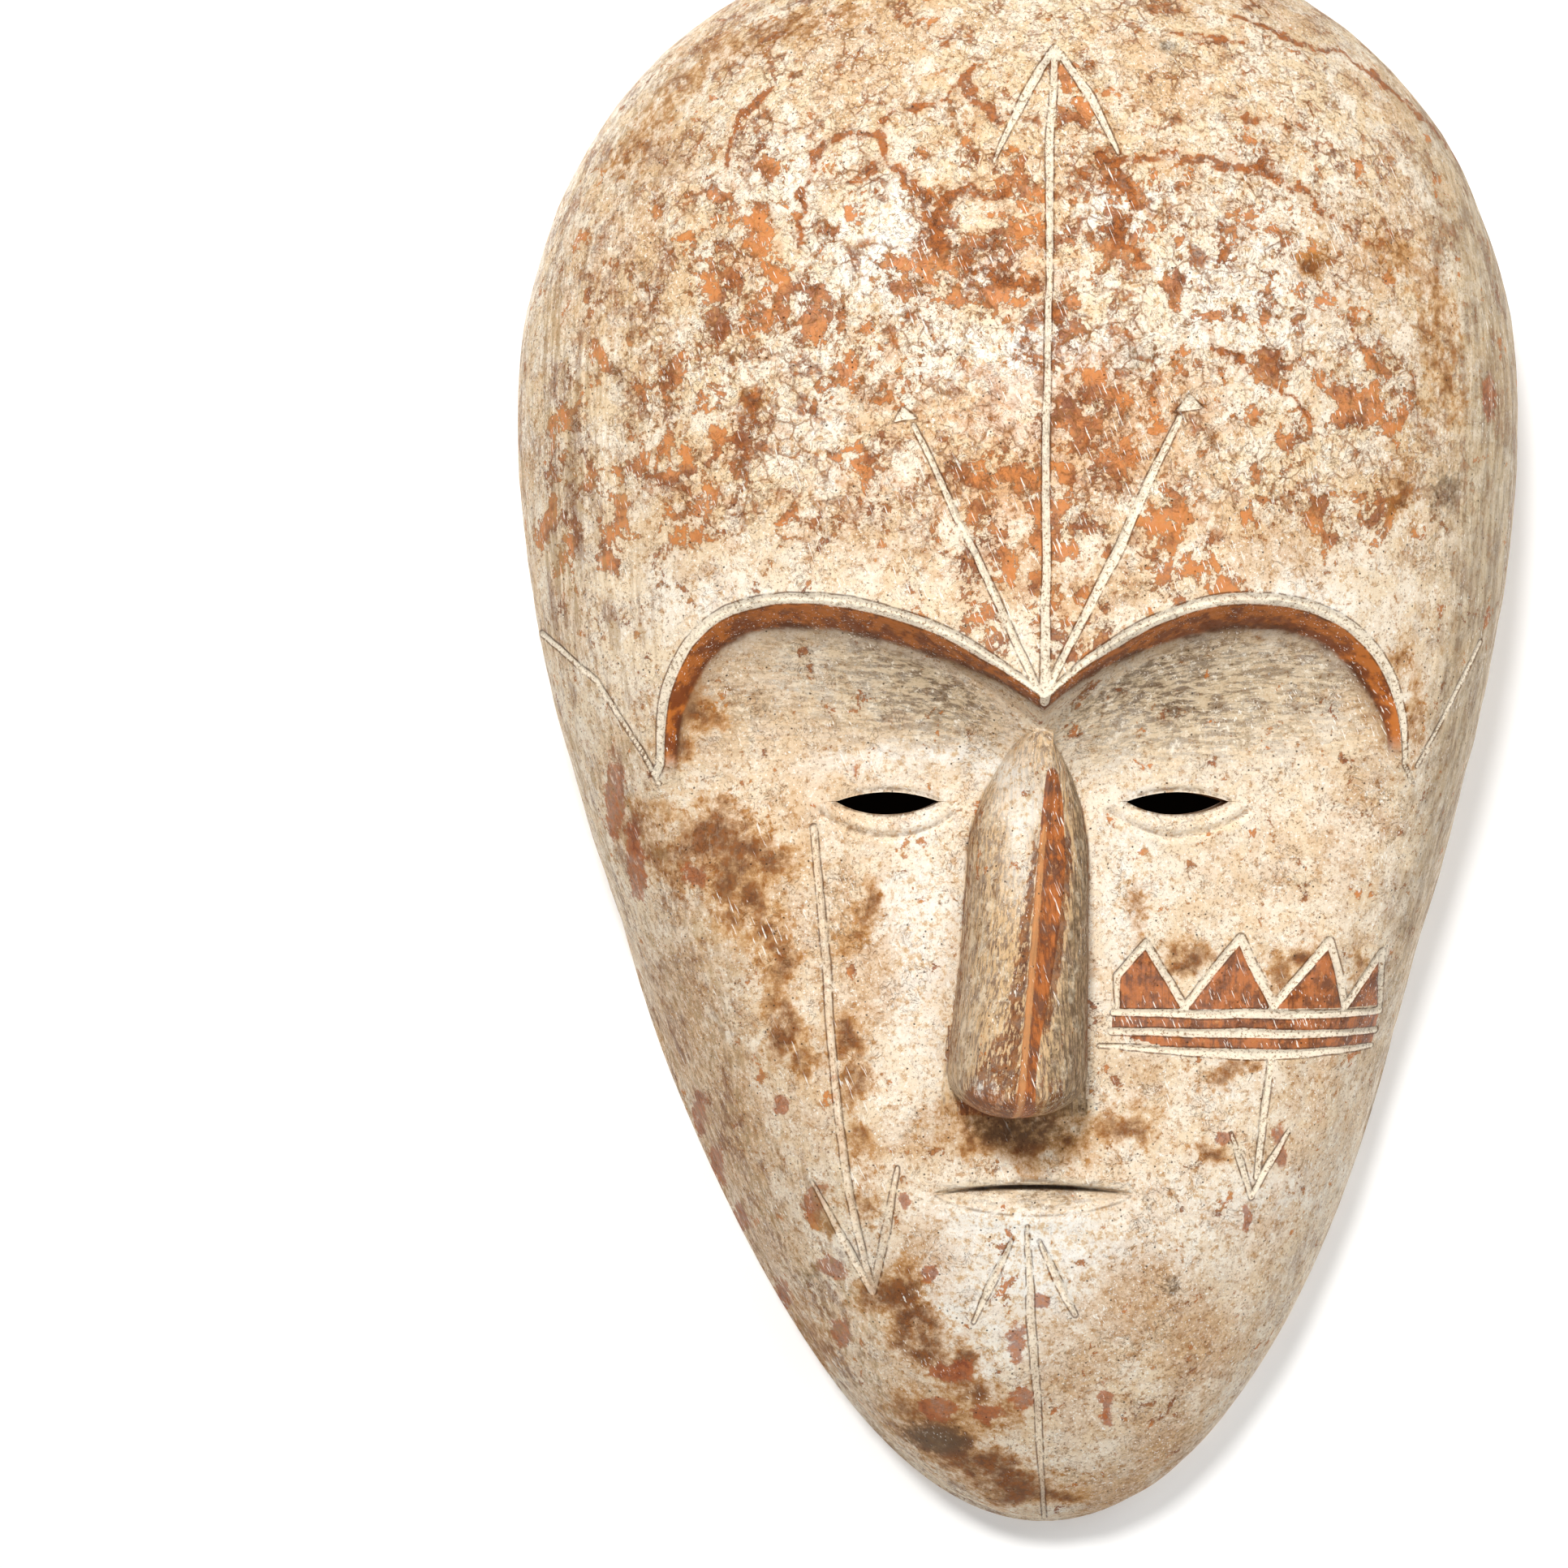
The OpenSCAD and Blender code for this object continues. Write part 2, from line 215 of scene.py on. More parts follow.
def scallops(a, b, cell, salt):
    """Depth from 0 to 1 of overlapping gouge marks on a surface with coordinates a and b in millimetres."""
    ia, ib = np.floor(a / cell).astype(np.int64), np.floor(b / cell).astype(np.int64)
    nearest = np.full(a.shape, 9.0)
    for da in (-1, 0, 1):
        for db in (-1, 0, 1):
            ca, cb = ia + da, ib + db
            zero = np.zeros_like(ca)
            pa = (ca + 0.15 + 0.7 * hashed(ca, cb, zero, salt)) * cell
            pb = (cb + 0.15 + 0.7 * hashed(ca, cb, zero, salt + 1)) * cell
            nearest = np.minimum(nearest, ((a - pa) ** 2 + (b - pb) ** 2) / cell**2)
    return 1 - np.minimum(1, nearest)


# ---------------------------------------------------------------------------
# Engraved strokes: (x, s, half-width) points of each line, in millimetres.
# ---------------------------------------------------------------------------

STROKES = [
    # forehead: centre line with an arrow at its top
    [(6.5, 50.5, 0.9), (4, 84, 1.1), (3.5, 130, 0.9), (3, 175, 1.1), (3, 234, 1.4)],
    [(6.5, 50, 0.9), (-2.5, 64.5, 1.3), (-11.5, 84, 0.4)],
    [(6.5, 50, 0.9), (16, 65, 1.3), (23.5, 81.5, 0.5)],
    # forehead: two slanting arrows
    [(-34, 157.5, 0.7), (-16, 195, 1.0), (1, 231, 1.0)],
    [(40, 155.5, 0.9), (21.5, 195, 1.4), (4, 230, 0.9)],
    # temples
    [(-142, 212.5, 0.8), (-124.5, 227.5, 0.7), (-106, 257, 0.6)],
    [(134.5, 215.5, 0.6), (123.5, 234.5, 0.6), (113.5, 252.5, 0.5)],
    # left cheek: long arrow
    [(-61.5, 270, 1.0), (-57.5, 312.5, 1.1), (-55, 343.5, 1.1), (-51, 377, 1.1), (-44, 407.5, 0.9)],
    [(-62, 374, 0.4), (-52.5, 392, 1.1), (-44, 407.5, 1.0)],
    [(-37, 369.5, 0.6), (-40.5, 389, 1.2), (-44, 407.5, 1.0)],
    # right cheek: zigzag and three level lines
    [(26.5, 322, 0.7), (26.5, 313, 1.1)],
    [(26.5, 313, 1.1), (35, 303.5, 1.1)],
    [(35, 303.5, 1.1), (46.5, 322, 1.1)],
    [(46.5, 322, 1.1), (62.5, 302, 1.3)],
    [(62.5, 302, 1.3), (72.5, 322, 1.3)],
    [(72.5, 322, 1.3), (89, 303, 1.3)],
    [(89, 303, 1.3), (94.5, 322.5, 1.0)],
    [(94.5, 322.5, 1.0), (106, 306.5, 1.1)],
    [(106, 306.5, 1.1), (107, 323.5, 0.8)],
    [(25.5, 323.5, 1.0), (65.5, 324.5, 1.4), (107, 324.5, 1.0)],
    [(25, 329, 1.1), (65.5, 330, 1.4), (106, 330.5, 1.0)],
    [(21.5, 333.5, 0.6), (65.5, 336, 1.6), (105, 335.5, 0.8)],
    # right cheek: short arrow
    [(72, 336.5, 0.9), (70, 355.5, 1.0), (68.5, 372.5, 0.8)],
    [(60.5, 359, 0.4), (63.5, 367.5, 1.0), (67, 378.5, 0.7)],
    [(78, 358, 0.4), (72.5, 367.5, 1.0), (67, 378.5, 0.7)],
    # chin: arrow pointing up to the mouth
    [(1, 386, 0.5), (2, 408, 1.2), (4.5, 433.5, 1.1), (7, 460.5, 0.8), (10, 482.5, 0.6)],
    [(-3.5, 390.5, 0.5), (-9, 403, 1.2), (-14.5, 415.5, 0.5)],
    [(4.5, 390.5, 0.5), (10, 402, 1.3), (15.5, 413, 0.7)],
]
ARROW_HEADS = [
    [(-40, 156.5), (-37, 152), (-33, 155.5)],
    [(38.5, 154), (43, 148.5), (47, 152.5)],
]
LOWER_LIDS = [
    [(-59.5, 265.5, 0.3), (-50.5, 270.5, 0.8), (-39.5, 272.5, 0.9), (-29, 270.5, 0.8), (-22, 266.5, 0.3)],
    [(24.5, 265.5, 0.3), (34.5, 270.5, 0.8), (43.5, 272.5, 0.9), (55.5, 270, 0.8), (64, 265.5, 0.3)],
]


def curved(points, steps=3):
    """Extra points along a Catmull-Rom curve, for lines of four points or more."""
    if len(points) < 4:
        return points
    ends = [points[0], *points, points[-1]]
    curve = []
    for k in range(1, len(ends) - 2):
        a, b, c, d = (np.array(q, float) for q in ends[k - 1 : k + 3])
        for t in np.arange(steps) / steps:
            curve.append(tuple(0.5 * (2 * b + (c - a) * t + (2 * a - 5 * b + 4 * c - d) * t**2
                                      + (3 * b - a - 3 * c + d) * t**3)))
    return curve + [points[-1]]


def segment_gap(x, s, a, b):
    """Distance to a tapering segment's edge, and its half-width where it is nearest."""
    ax, a_s, a_half = a
    bx, bs, b_half = b
    ux, us = bx - ax, bs - a_s
    t = clamp01(((x - ax) * ux + (s - a_s) * us) / (ux * ux + us * us))
    half = a_half + (b_half - a_half) * t
    return np.hypot(x - ax - ux * t, s - a_s - us * t) - half, half


def stroke_gap(x, s, strokes):
    """Signed distance in mm to the nearest stroke's edge, negative inside, and that stroke's half-width."""
    best = np.full(x.shape, 50.0)
    width = np.ones(x.shape)
    for stroke in strokes:
        xs = [p[0] for p in stroke]
        ss = [p[1] for p in stroke]
        near = np.flatnonzero((x > min(xs) - 8) & (x < max(xs) + 8) & (s > min(ss) - 8) & (s < max(ss) + 8))
        for a, b in zip(stroke[:-1], stroke[1:]):
            gap, half = segment_gap(x[near], s[near], a, b)
            closer = gap < best[near]
            best[near] = np.where(closer, gap, best[near])
            width[near] = np.where(closer, half, width[near])
    return best, width


def brow_distance(x, s):
    """Distance in mm from the brow arches' edge, evened out where the arches are steep."""
    e = 0.2
    here = below_brow(x, s)
    slope = np.hypot(below_brow(x + e, s) - here, below_brow(x, s + e) - here) / e
    return here / np.maximum(slope, 0.3)


def brow_line(x, s):
    """The chalked line along the arches: its signed distance and half-width."""
    half = 1.55 * mix(0.55, 1, smooth((np.abs(x - BROW_MID_X) - 2) / 22))
    half = half * mix(1, np.where(x < 0, 0.75, 0.35), smooth((s - 222) / 34))
    end = np.where(x < 0, 255.0, 257.0)
    gap = np.abs(brow_distance(x, s) + 0.9) - half
    return np.maximum(gap, s - end), half


def polygon_gap(x, s, corners):
    """Signed distance in mm to a convex polygon's edge, negative inside."""
    sides = list(zip(corners, [*corners[1:], corners[0]]))
    area = sum(ax * bs - bx * a_s for (ax, a_s), (bx, bs) in sides)
    best = np.full(x.shape, -1e3)
    for (ax, a_s), (bx, bs) in sides:
        out = ((bs - a_s) * (x - ax) - (bx - ax) * (s - a_s)) / math.hypot(bx - ax, bs - a_s)
        best = np.maximum(best, out * (1 if area > 0 else -1))
    return best


CURVES = [curved(stroke) for stroke in STROKES]
LID_CURVES = [curved(lid) for lid in LOWER_LIDS]


def line_gap(x, s):
    """Signed distance to the nearest engraved line, with a hand's wobble, and that line's half-width."""
    flat = np.stack([x, 0 * x, s], -1)
    x = x + 0.35 * noise3(flat, 13, 61) + 0.12 * noise3(flat, 3, 62)
    s = s + 0.35 * noise3(flat, 13, 63) + 0.12 * noise3(flat, 3, 64)
    gap, width = stroke_gap(x, s, CURVES)
    brow, brow_half = brow_line(x, s)
    width = np.where(brow < gap, brow_half, width)
    gap = np.minimum(gap, brow)
    for corners in ARROW_HEADS:
        gap = np.minimum(gap, polygon_gap(x, s, corners))
    return gap, width


# ---------------------------------------------------------------------------
# Carving details, as a depth in millimetres cut into the surface.
# ---------------------------------------------------------------------------

MOUTH_MID_X, MOUTH_HALF_W, MOUTH_TOP_S = 2.6, 29.0, 374.8


def mouth_places(x, s):
    """How far the mouth is open here, and the distance in mm below its upper edge."""
    across = (x - MOUTH_MID_X) / MOUTH_HALF_W
    a = clamp01(1 - across**2)
    return a, s - MOUTH_TOP_S - 2.2 * across**2


def mouth_depth(x, s):
    """A slit under an overhanging upper edge, with a lower lip that slopes out of it."""
    a, below = mouth_places(x, s)
    height = np.maximum(8.0 * a**0.8, 0.5)
    slope = np.clip(1 - below / height, 0, 1) ** 1.15
    cut = 4.6 * a**0.6 * np.where(below < 0, np.exp(-((below / 0.55) ** 2)), slope)
    crack = 1.6 * a**0.5 * np.exp(-(((below - 0.5) / 0.7) ** 2))
    ledge = 0.5 * a * np.exp(-(((below + 2.6) / 1.6) ** 2))
    lip = 0.9 * a * np.exp(-(((below - height - 1.5) / 3.2) ** 2))
    return cut + crack - ledge - lip


def lid_places(x, s):
    """Distance in mm from the lower lids' crease, and its half-width."""
    return stroke_gap(x, s, LID_CURVES)


def lid_depth(x, s):
    """The lower lids: a crease under each eye slit, a roll of wood between, and a bevel round the slit."""
    gap, half = lid_places(x, s)
    middle = np.maximum(gap, -half) + half
    total = 0.9 * np.exp(-((middle / 1.1) ** 2)) - 0.35 * np.exp(-(((middle - 2.4) / 1.3) ** 2))
    for side in (-1, 1):
        mid = EYE_MID_X + side * EYE_X
        a = clamp01(1 - ((x - mid) / (EYE_W / 2 + 5)) ** 2)
        edge = np.abs(s - EYE_S) - EYE_H / 2 * a
        reach = np.where(s < EYE_S, 1.0, 2.6)
        total = total + np.where(s < EYE_S, 0.8, 2.1) * a * np.exp(-((np.maximum(edge, 0) / reach) ** 2))
    return total


def carve(x, s, p):
    """Everything cut into the front: burred lines, tool marks, chips on the flanks, the mouth and lids."""
    gap, half = line_gap(x, s)
    across = clamp01((gap + half) / np.maximum(half, 0.1))
    groove = 0.95 * np.minimum(1, half / 0.9) * (1 - across**2)
    burr = -0.14 * np.exp(-(((gap - 0.6) / 0.6) ** 2))
    wave = 0.45 * noise3(p, 26, 1) + 0.2 * noise3(p, 9, 2) + 0.06 * noise3(p, 3.4, 3)
    stretch = p * np.array([1.0, 1.0, 0.14])
    side = smooth((np.abs(x) - 95) / 40)
    chips = 0.14 * side * noise3(stretch, 3.0, 4) + 0.05 * noise3(stretch, 2.2, 5)
    facets = 0.28 * scallops(x * 1.4 + 0.2 * s, s * 0.55, 13, 40) * smooth((s - 200) / 60)
    return groove + burr + wave + chips + facets + mouth_depth(x, s) + lid_depth(x, s)


# ---------------------------------------------------------------------------
# Mesh building
# ---------------------------------------------------------------------------


def points(x, d, s):
    return np.stack([x, -d, HOOK_S - s], -1)


def new_mesh(name, verts, *face_groups):
    """A mesh from points in mm and groups of faces, each group an array with one row per face."""
    mesh = bpy.data.meshes.new(name)
    verts = (np.asarray(verts, float).reshape(-1, 3) * MM).astype(np.float32)
    mesh.vertices.add(len(verts))
    mesh.vertices.foreach_set("co", verts.ravel())
    loops = np.concatenate([np.asarray(g, np.int32).ravel() for g in face_groups])
    sizes = np.concatenate([np.full(len(g), np.asarray(g).shape[1], np.int32) for g in face_groups])
    starts = np.concatenate([[0], np.cumsum(sizes)[:-1]]).astype(np.int32)
    mesh.loops.add(len(loops))
    mesh.loops.foreach_set("vertex_index", loops)
    mesh.polygons.add(len(sizes))
    mesh.polygons.foreach_set("loop_start", starts)
    mesh.update(calc_edges=True)
    mesh.validate()
    return mesh


def new_object(name, mesh):
    obj = bpy.data.objects.new(name, mesh)
    bpy.context.scene.collection.objects.link(obj)
    return obj


def grid_quads(rows, cols):
    i, j = np.meshgrid(np.arange(rows - 1), np.arange(cols - 1), indexing="ij")
    a = (i * cols + j).ravel()
    return np.stack([a + cols, a + cols + 1, a + 1, a], 1)


def closing_quads(rows, cols):
    """The flat faces that join each row's last point to its first."""
    a = np.arange(rows - 1) * cols
    return np.stack([a + cols - 1, a + 2 * cols - 1, a + cols, a], 1)


ROW_SPANS = [  # from s, to s, rows, and which end they crowd at
    (0.03, 112.5, 180, "start"),
    (112.5, 200.0, 110, ""),
    (200.0, 257.0, 100, ""),
    (257.0, 276.0, 50, ""),
    (276.0, 342.0, 84, ""),
    (342.0, 353.6, 48, ""),
    (353.6, 372.0, 24, ""),
    (372.0, 386.0, 52, ""),
    (386.0, 430.0, 52, ""),
    (430.0, CHIN_S - 0.06, 84, "end"),
]
SIDE_COLS, CHEEK_COLS, NOSE_COLS, ARRIS_COLS = 26, 215, 38, 5
RIM_ROUND = 1.2


def row_values():
    values = []
    for a, b, n, crowd in ROW_SPANS:
        t = np.arange(n) / n
        if crowd == "start":
            t = 1 - np.cos(t * math.pi / 2)
        elif crowd == "end":
            t = np.sin(t * math.pi / 2)
        values.append(a + (b - a) * t)
    return np.concatenate(values + [[ROW_SPANS[-1][1]]])


def front_columns(s):
    """Each row's columns: the middle ones follow the nose, and the outer ones crowd at the edge."""
    s = s[:, None]
    nose_s = (NOSE_TOP_S + NOSE_END_S) / 2
    mid = mix(ridge_x(s), lean(s), smooth((np.abs(s - nose_s) - (nose_s - NOSE_TOP_S)) / 90))
    columns = []
    for side in (-1, 1):
        wide = mix(10, 24, smooth((NOSE_TOP_S - s) / 50))
        core = np.where(s < NOSE_TOP_S, wide, np.maximum(7, nose_half(s, side)))
        core = np.minimum(0.3 * head_w(s), core)
        edge = head_w(s) + side * (lean(s) - mid)
        k = np.arange(1, NOSE_COLS + 1)[None, :] / NOSE_COLS
        inner = mid + side * core * np.sin(k * math.pi / 2)
        t = np.arange(1, CHEEK_COLS + 1)[None, :] / CHEEK_COLS
        outer = mid + side * mix(core, edge, mix(t, np.sin(t * math.pi / 2), smooth(t)))
        both = np.concatenate([inner, outer], 1)
        columns.append(both[:, ::-1] if side < 0 else both)
    return np.concatenate([columns[0], mid, columns[1]], 1)


def side_points(s, side):
    """The flank from the wall up to the front's edge, with a rounded arris at the wall."""
    s = s[:, None]
    flank = flank_d(s)
    low = turn(s)
    around = np.linspace(0, math.pi / 2, ARRIS_COLS)[None, :]
    d_round = RIM_ROUND * (1 - np.cos(around))
    inset = RIM_ROUND * (1 - np.sin(around))
    up_cols = SIDE_COLS - ARRIS_COLS + 1
    up = np.arange(1, up_cols)[None, :] / up_cols
    d_up = RIM_ROUND + (flank - RIM_ROUND) * up
    d = np.concatenate([d_round + 0 * s, d_up], 1)
    inset = np.concatenate([inset, np.zeros((1, d_up.shape[1]))], 1)
    edge = (1 - clamp01(d / flank)) ** mix(2, 1, low)
    x = lean(s) + side * head_w(s) * mix(1, mix(CROWN_TUCK, CHEEK_FLARE, low), edge)
    scaled = WIDEST_S + (s - WIDEST_S) * mix(1, mix(CROWN_TUCK, CHIN_FLARE, low), edge)
    reach = np.hypot(x - lean(s), scaled - WIDEST_S)
    shrink = 1 - inset / reach
    return lean(s) + (x - lean(s)) * shrink, d, WIDEST_S + (scaled - WIDEST_S) * shrink


def grid_normals(p):
    along = np.gradient(p, axis=0)
    across = np.gradient(p, axis=1)
    n = np.cross(along, across)
    return n / np.maximum(np.linalg.norm(n, axis=-1, keepdims=True), 1e-12)


def fade_ends(n, length):
    """A column of factors for n rows: 0 at both ends and 1 from that many rows on."""
    k = np.arange(n)
    return (smooth(k / length) * smooth((n - 1 - k) / length))[:, None]


def cap_faces(first, cols, flip):
    """Faces across a row of an odd number of points: quads from its ends inwards, then a triangle."""
    middle = (cols - 1) // 2
    j = np.arange(middle - 1)
    low, high = first + j, first + cols - 1 - j
    quads = np.stack([low + 1, high - 1, high, low], 1)
    triangle = first + np.array([[middle, middle + 1, middle - 1]])
    return [faces[:, ::-1] if flip else faces for faces in (quads, triangle)]


def build_head():
    """The block before it is hollowed: a closed mesh of the carved front, flanks and a flat back."""
    rows = row_values()
    x = front_columns(rows)
    s = np.repeat(rows[:, None], x.shape[1], 1)
    front = (x, front_d(x, s), s)
    left, right = side_points(rows, -1), side_points(rows, 1)
    gx, gd, gs = (np.concatenate([l, f, r[:, ::-1]], 1) for l, f, r in zip(left, front, right))
    p = points(gx, gd, gs)
    n_rows, n_cols = gx.shape
    fade = fade_ends(n_rows, 6) * smooth((gd - 0.6) / 3)
    cut_in = carve(gx.ravel(), gs.ravel(), p.reshape(-1, 3)).reshape(gx.shape) * fade
    p = p - grid_normals(p) * cut_in[..., None]
    first_cap, first_tip = cap_faces(0, n_cols, False)
    last_cap, last_tip = cap_faces((n_rows - 1) * n_cols, n_cols, True)
    return new_mesh("head", p, grid_quads(n_rows, n_cols), closing_quads(n_rows, n_cols),
                    first_cap, last_cap, first_tip, last_tip)


HOLLOW_TOP_S, HOLLOW_END_S, RIM_T = 78.0, 461.0, 16.0
HOLLOW_D, HOLLOW_EXTRA_D, HOLLOW_EXTRA_H = 70.0, 36.0, 55.0  # deepest behind the forehead
HOLLOW_ROWS, HOLLOW_COLS = 200, 150


def build_hollow():
    """What is taken out of the block's back, with gouge marks."""
    t = np.arange(HOLLOW_ROWS + 1) / HOLLOW_ROWS
    s = (HOLLOW_TOP_S + 0.2 + (HOLLOW_END_S - HOLLOW_TOP_S - 0.5) * (1 - np.cos(t * math.pi)) / 2)[:, None]
    w = (HEAD_HALF_W - RIM_T) * egg(s, HOLLOW_TOP_S, WIDEST_S, HOLLOW_END_S, 2.15, 1.5)
    crest = HOLLOW_D + HOLLOW_EXTRA_D * np.exp(-(((s - WIDEST_S) / HOLLOW_EXTRA_H) ** 2))
    d = crest * egg(s, HOLLOW_TOP_S, WIDEST_S, HOLLOW_END_S, 2.5, 3)
    angle = (np.arange(HOLLOW_COLS + 1) / HOLLOW_COLS * math.pi)[None, :]
    x = lean(s) - w * np.cos(angle)
    depth = d * np.clip(np.sin(angle), 0, 1) ** 0.55
    depth[:, 0] = depth[:, -1] = -2.0
    s = np.repeat(s, HOLLOW_COLS + 1, 1)
    p = points(x, depth, s)
    arc = np.cumsum(np.linalg.norm(np.diff(p, axis=1, prepend=p[:, :1]), axis=-1), 1)
    marks = 1.1 * scallops(arc + 0.3 * s, s * 0.5, 13, 60) * smooth(depth / 6) * fade_ends(HOLLOW_ROWS + 1, 8)
    uneven = (0.9 * noise3(p, 30, 12) * smooth(depth / 12) - marks + 0.4) * smooth(depth / 3)
    p = p - grid_normals(p) * uneven[..., None]
    rows, cols = s.shape
    row = np.arange(cols)[None, :]
    return new_mesh("hollow", p, grid_quads(rows, cols), closing_quads(rows, cols),
                    row, ((rows - 1) * cols + row)[:, ::-1])


def prism_mesh(name, outline, y_values):
    """A closed prism along Y from an outline of (x, z) points."""
    n = len(outline)
    verts = np.concatenate([np.insert(outline, 1, y, axis=1) for y in y_values])
    ring, after = np.arange(n), (np.arange(n) + 1) % n
    walls = [np.stack([ring, ring + n, after + n, after], 1) + k * n for k in range(len(y_values) - 1)]
    last = ring + (len(y_values) - 1) * n
    return new_mesh(name, verts, *walls, ring[None, :], last[None, ::-1])


def lens_outline(mid_x, mid_z, w, h, n=40):
    """An eye slit's outline: two arcs, a little uneven, the lower one deeper."""
    t = np.linspace(-1, 1, n)
    up = h * 0.42 * (1 - np.abs(t) ** 2.0)
    low = h * 0.58 * (1 - np.abs(t) ** 2.2)
    top = np.column_stack([mid_x + t * w / 2, mid_z + up])
    bottom = np.column_stack([mid_x + t * w / 2, mid_z - low])[-2:0:-1]
    return np.concatenate([top, bottom])[::-1]


def stadium_outline(r, z_top, z_end, n=24):
    a = np.linspace(0, math.pi, n)
    top = np.column_stack([r * np.cos(a), z_top + r * np.sin(a)])
    end = np.column_stack([-r * np.cos(a), z_end - r * np.sin(a)])
    return np.concatenate([top, end])


def circle_outline(z, r, n=24):
    a = np.arange(n) / n * 2 * math.pi
    return np.column_stack([r * np.cos(a), z + r * np.sin(a)])


def cut(mesh, cutters):
    """The mesh with the cutters taken away, as a new mesh."""
    body = new_object("cut_body", mesh)
    tools = [new_object(c.name, c) for c in cutters]
    for tool in tools:
        mod = body.modifiers.new("cut", "BOOLEAN")
        mod.operation = "DIFFERENCE"
        mod.solver = "MANIFOLD"
        mod.material_mode = "TRANSFER"
        mod.object = tool
    bpy.context.view_layer.update()
    graph = bpy.context.evaluated_depsgraph_get()
    result = bpy.data.meshes.new_from_object(body.evaluated_get(graph))
    for o in [body, *tools]:
        data = o.data
        bpy.data.objects.remove(o)
        bpy.data.meshes.remove(data)
    return result


# ---------------------------------------------------------------------------
# Node graphs
# ---------------------------------------------------------------------------


def srgb(code):
    """A linear colour, with alpha, from six hexadecimal digits of sRGB."""
    values = [int(code[i : i + 2], 16) / 255 for i in (0, 2, 4)]
    return tuple(v / 12.92 if v <= 0.04045 else ((v + 0.055) / 1.055) ** 2.4 for v in values) + (1.0,)


class Graph:
    """A material's nodes and links: any argument may be a number, a colour or a socket."""

    COLUMNS, COLUMN_W, ROW_H = 12, 220, 320  # how the nodes are laid out in the editor

    def __init__(self, name):
        self.material = bpy.data.materials.new(name)
        self.material.use_nodes = True
        self.tree = self.material.node_tree
        self.tree.nodes.clear()

    @cached_property
    def p(self):
        """The place in the object's own frame, in mm."""
        coords = self.node("ShaderNodeTexCoord").outputs["Object"]
        return self.vector("MULTIPLY", coords, (1 / MM, 1 / MM, 1 / MM))

    def node(self, kind, **settings):
        row, column = divmod(len(self.tree.nodes), self.COLUMNS)
        n = self.tree.nodes.new(kind)
        n.location = (column * self.COLUMN_W, -row * self.ROW_H)
        for key, value in settings.items():
            setattr(n, key, value)
        return n

    def feed(self, socket, value):
        if isinstance(value, bpy.types.NodeSocket):
            self.tree.links.new(value, socket)
        else:
            socket.default_value = value

    def fed(self, kind, values, **settings):
        """A new node with its inputs fed, by name or by number."""
        n = self.node(kind, **settings)
        for key, value in values.items():
            self.feed(n.inputs[key], value)
        return n

    def math(self, op, *values):
        return self.fed("ShaderNodeMath", dict(enumerate(values)), operation=op).outputs[0]

    def add(self, a, b):
        return self.math("ADD", a, b)

    def times(self, a, b):
        return self.math("MULTIPLY", a, b)

    def less(self, a, b):
        return self.math("SUBTRACT", a, b)

    def step(self, value, low, high, to_low=0.0, to_high=1.0):
        """A smooth step: to_low where the value is at low, and to_high where it is at high."""
        ends = {"Value": value, "From Min": low, "From Max": high, "To Min": to_low, "To Max": to_high}
        return self.fed("ShaderNodeMapRange", ends, interpolation_type="SMOOTHSTEP").outputs["Result"]

    def near(self, value, level, inner, outer):
        """1 where the value is within inner of the level, and 0 from outer on."""
        return self.step(self.math("ABSOLUTE", self.less(value, level)), inner, outer, 1.0, 0.0)

    def blend(self, factor, a, b):
        return self.fed("ShaderNodeMix", {0: factor, 6: a, 7: b}, data_type="RGBA").outputs[2]

    def tones(self, value, low, high, first, second):
        """The first colour where the value is low, turning to the second where it is high."""
        return self.blend(self.step(value, low, high), srgb(first), srgb(second))

    def vector(self, op, a, b):
        return self.fed("ShaderNodeVectorMath", {0: a, 1: b}, operation=op).outputs[0]

    def stretched(self, factors):
        """The place in mm with each axis scaled, so that a pattern runs along the axis with a low factor."""
        return self.vector("MULTIPLY", self.p, factors)

    def shifted(self, noise_colour, amount):
        """The place in mm, pushed about by up to half the amount each way."""
        centred = self.vector("SUBTRACT", noise_colour, (0.5, 0.5, 0.5))
        return self.vector("ADD", self.p, self.vector("MULTIPLY", centred, (amount, amount, amount)))

    def noise(self, vector, size, detail=4.0, rough=0.55, distort=0.0, output="Fac"):
        values = {"Vector": vector, "Scale": 1 / size, "Detail": detail, "Roughness": rough,
                  "Distortion": distort}
        return self.fed("ShaderNodeTexNoise", values).outputs[output]

    def cells(self, vector, size, feature):
        return self.fed("ShaderNodeTexVoronoi", {"Vector": vector, "Scale": 1 / size}, feature=feature)

    def cell_edge(self, vector, size):
        """Millimetres from the nearest edge between cells of that size."""
        return self.times(self.cells(vector, size, "DISTANCE_TO_EDGE").outputs["Distance"], size)

    def attribute(self, name):
        return self.node("ShaderNodeAttribute", attribute_type="GEOMETRY", attribute_name=name).outputs["Fac"]

    def bump(self, height, distance_mm, strength):
        values = {"Strength": strength, "Distance": distance_mm * MM, "Height": height}
        return self.fed("ShaderNodeBump", values).outputs[0]

    def finish(self, surface):
        self.fed("ShaderNodeOutputMaterial", {"Surface": surface})
        return self.material

    def principled(self, colour, roughness, normal, **others):
        values = {"Base Color": colour, "Roughness": roughness, "Normal": normal, **others}
        return self.finish(self.fed("ShaderNodeBsdfPrincipled", values).outputs[0])


# ---------------------------------------------------------------------------
# The painted wood, layer by layer
# ---------------------------------------------------------------------------

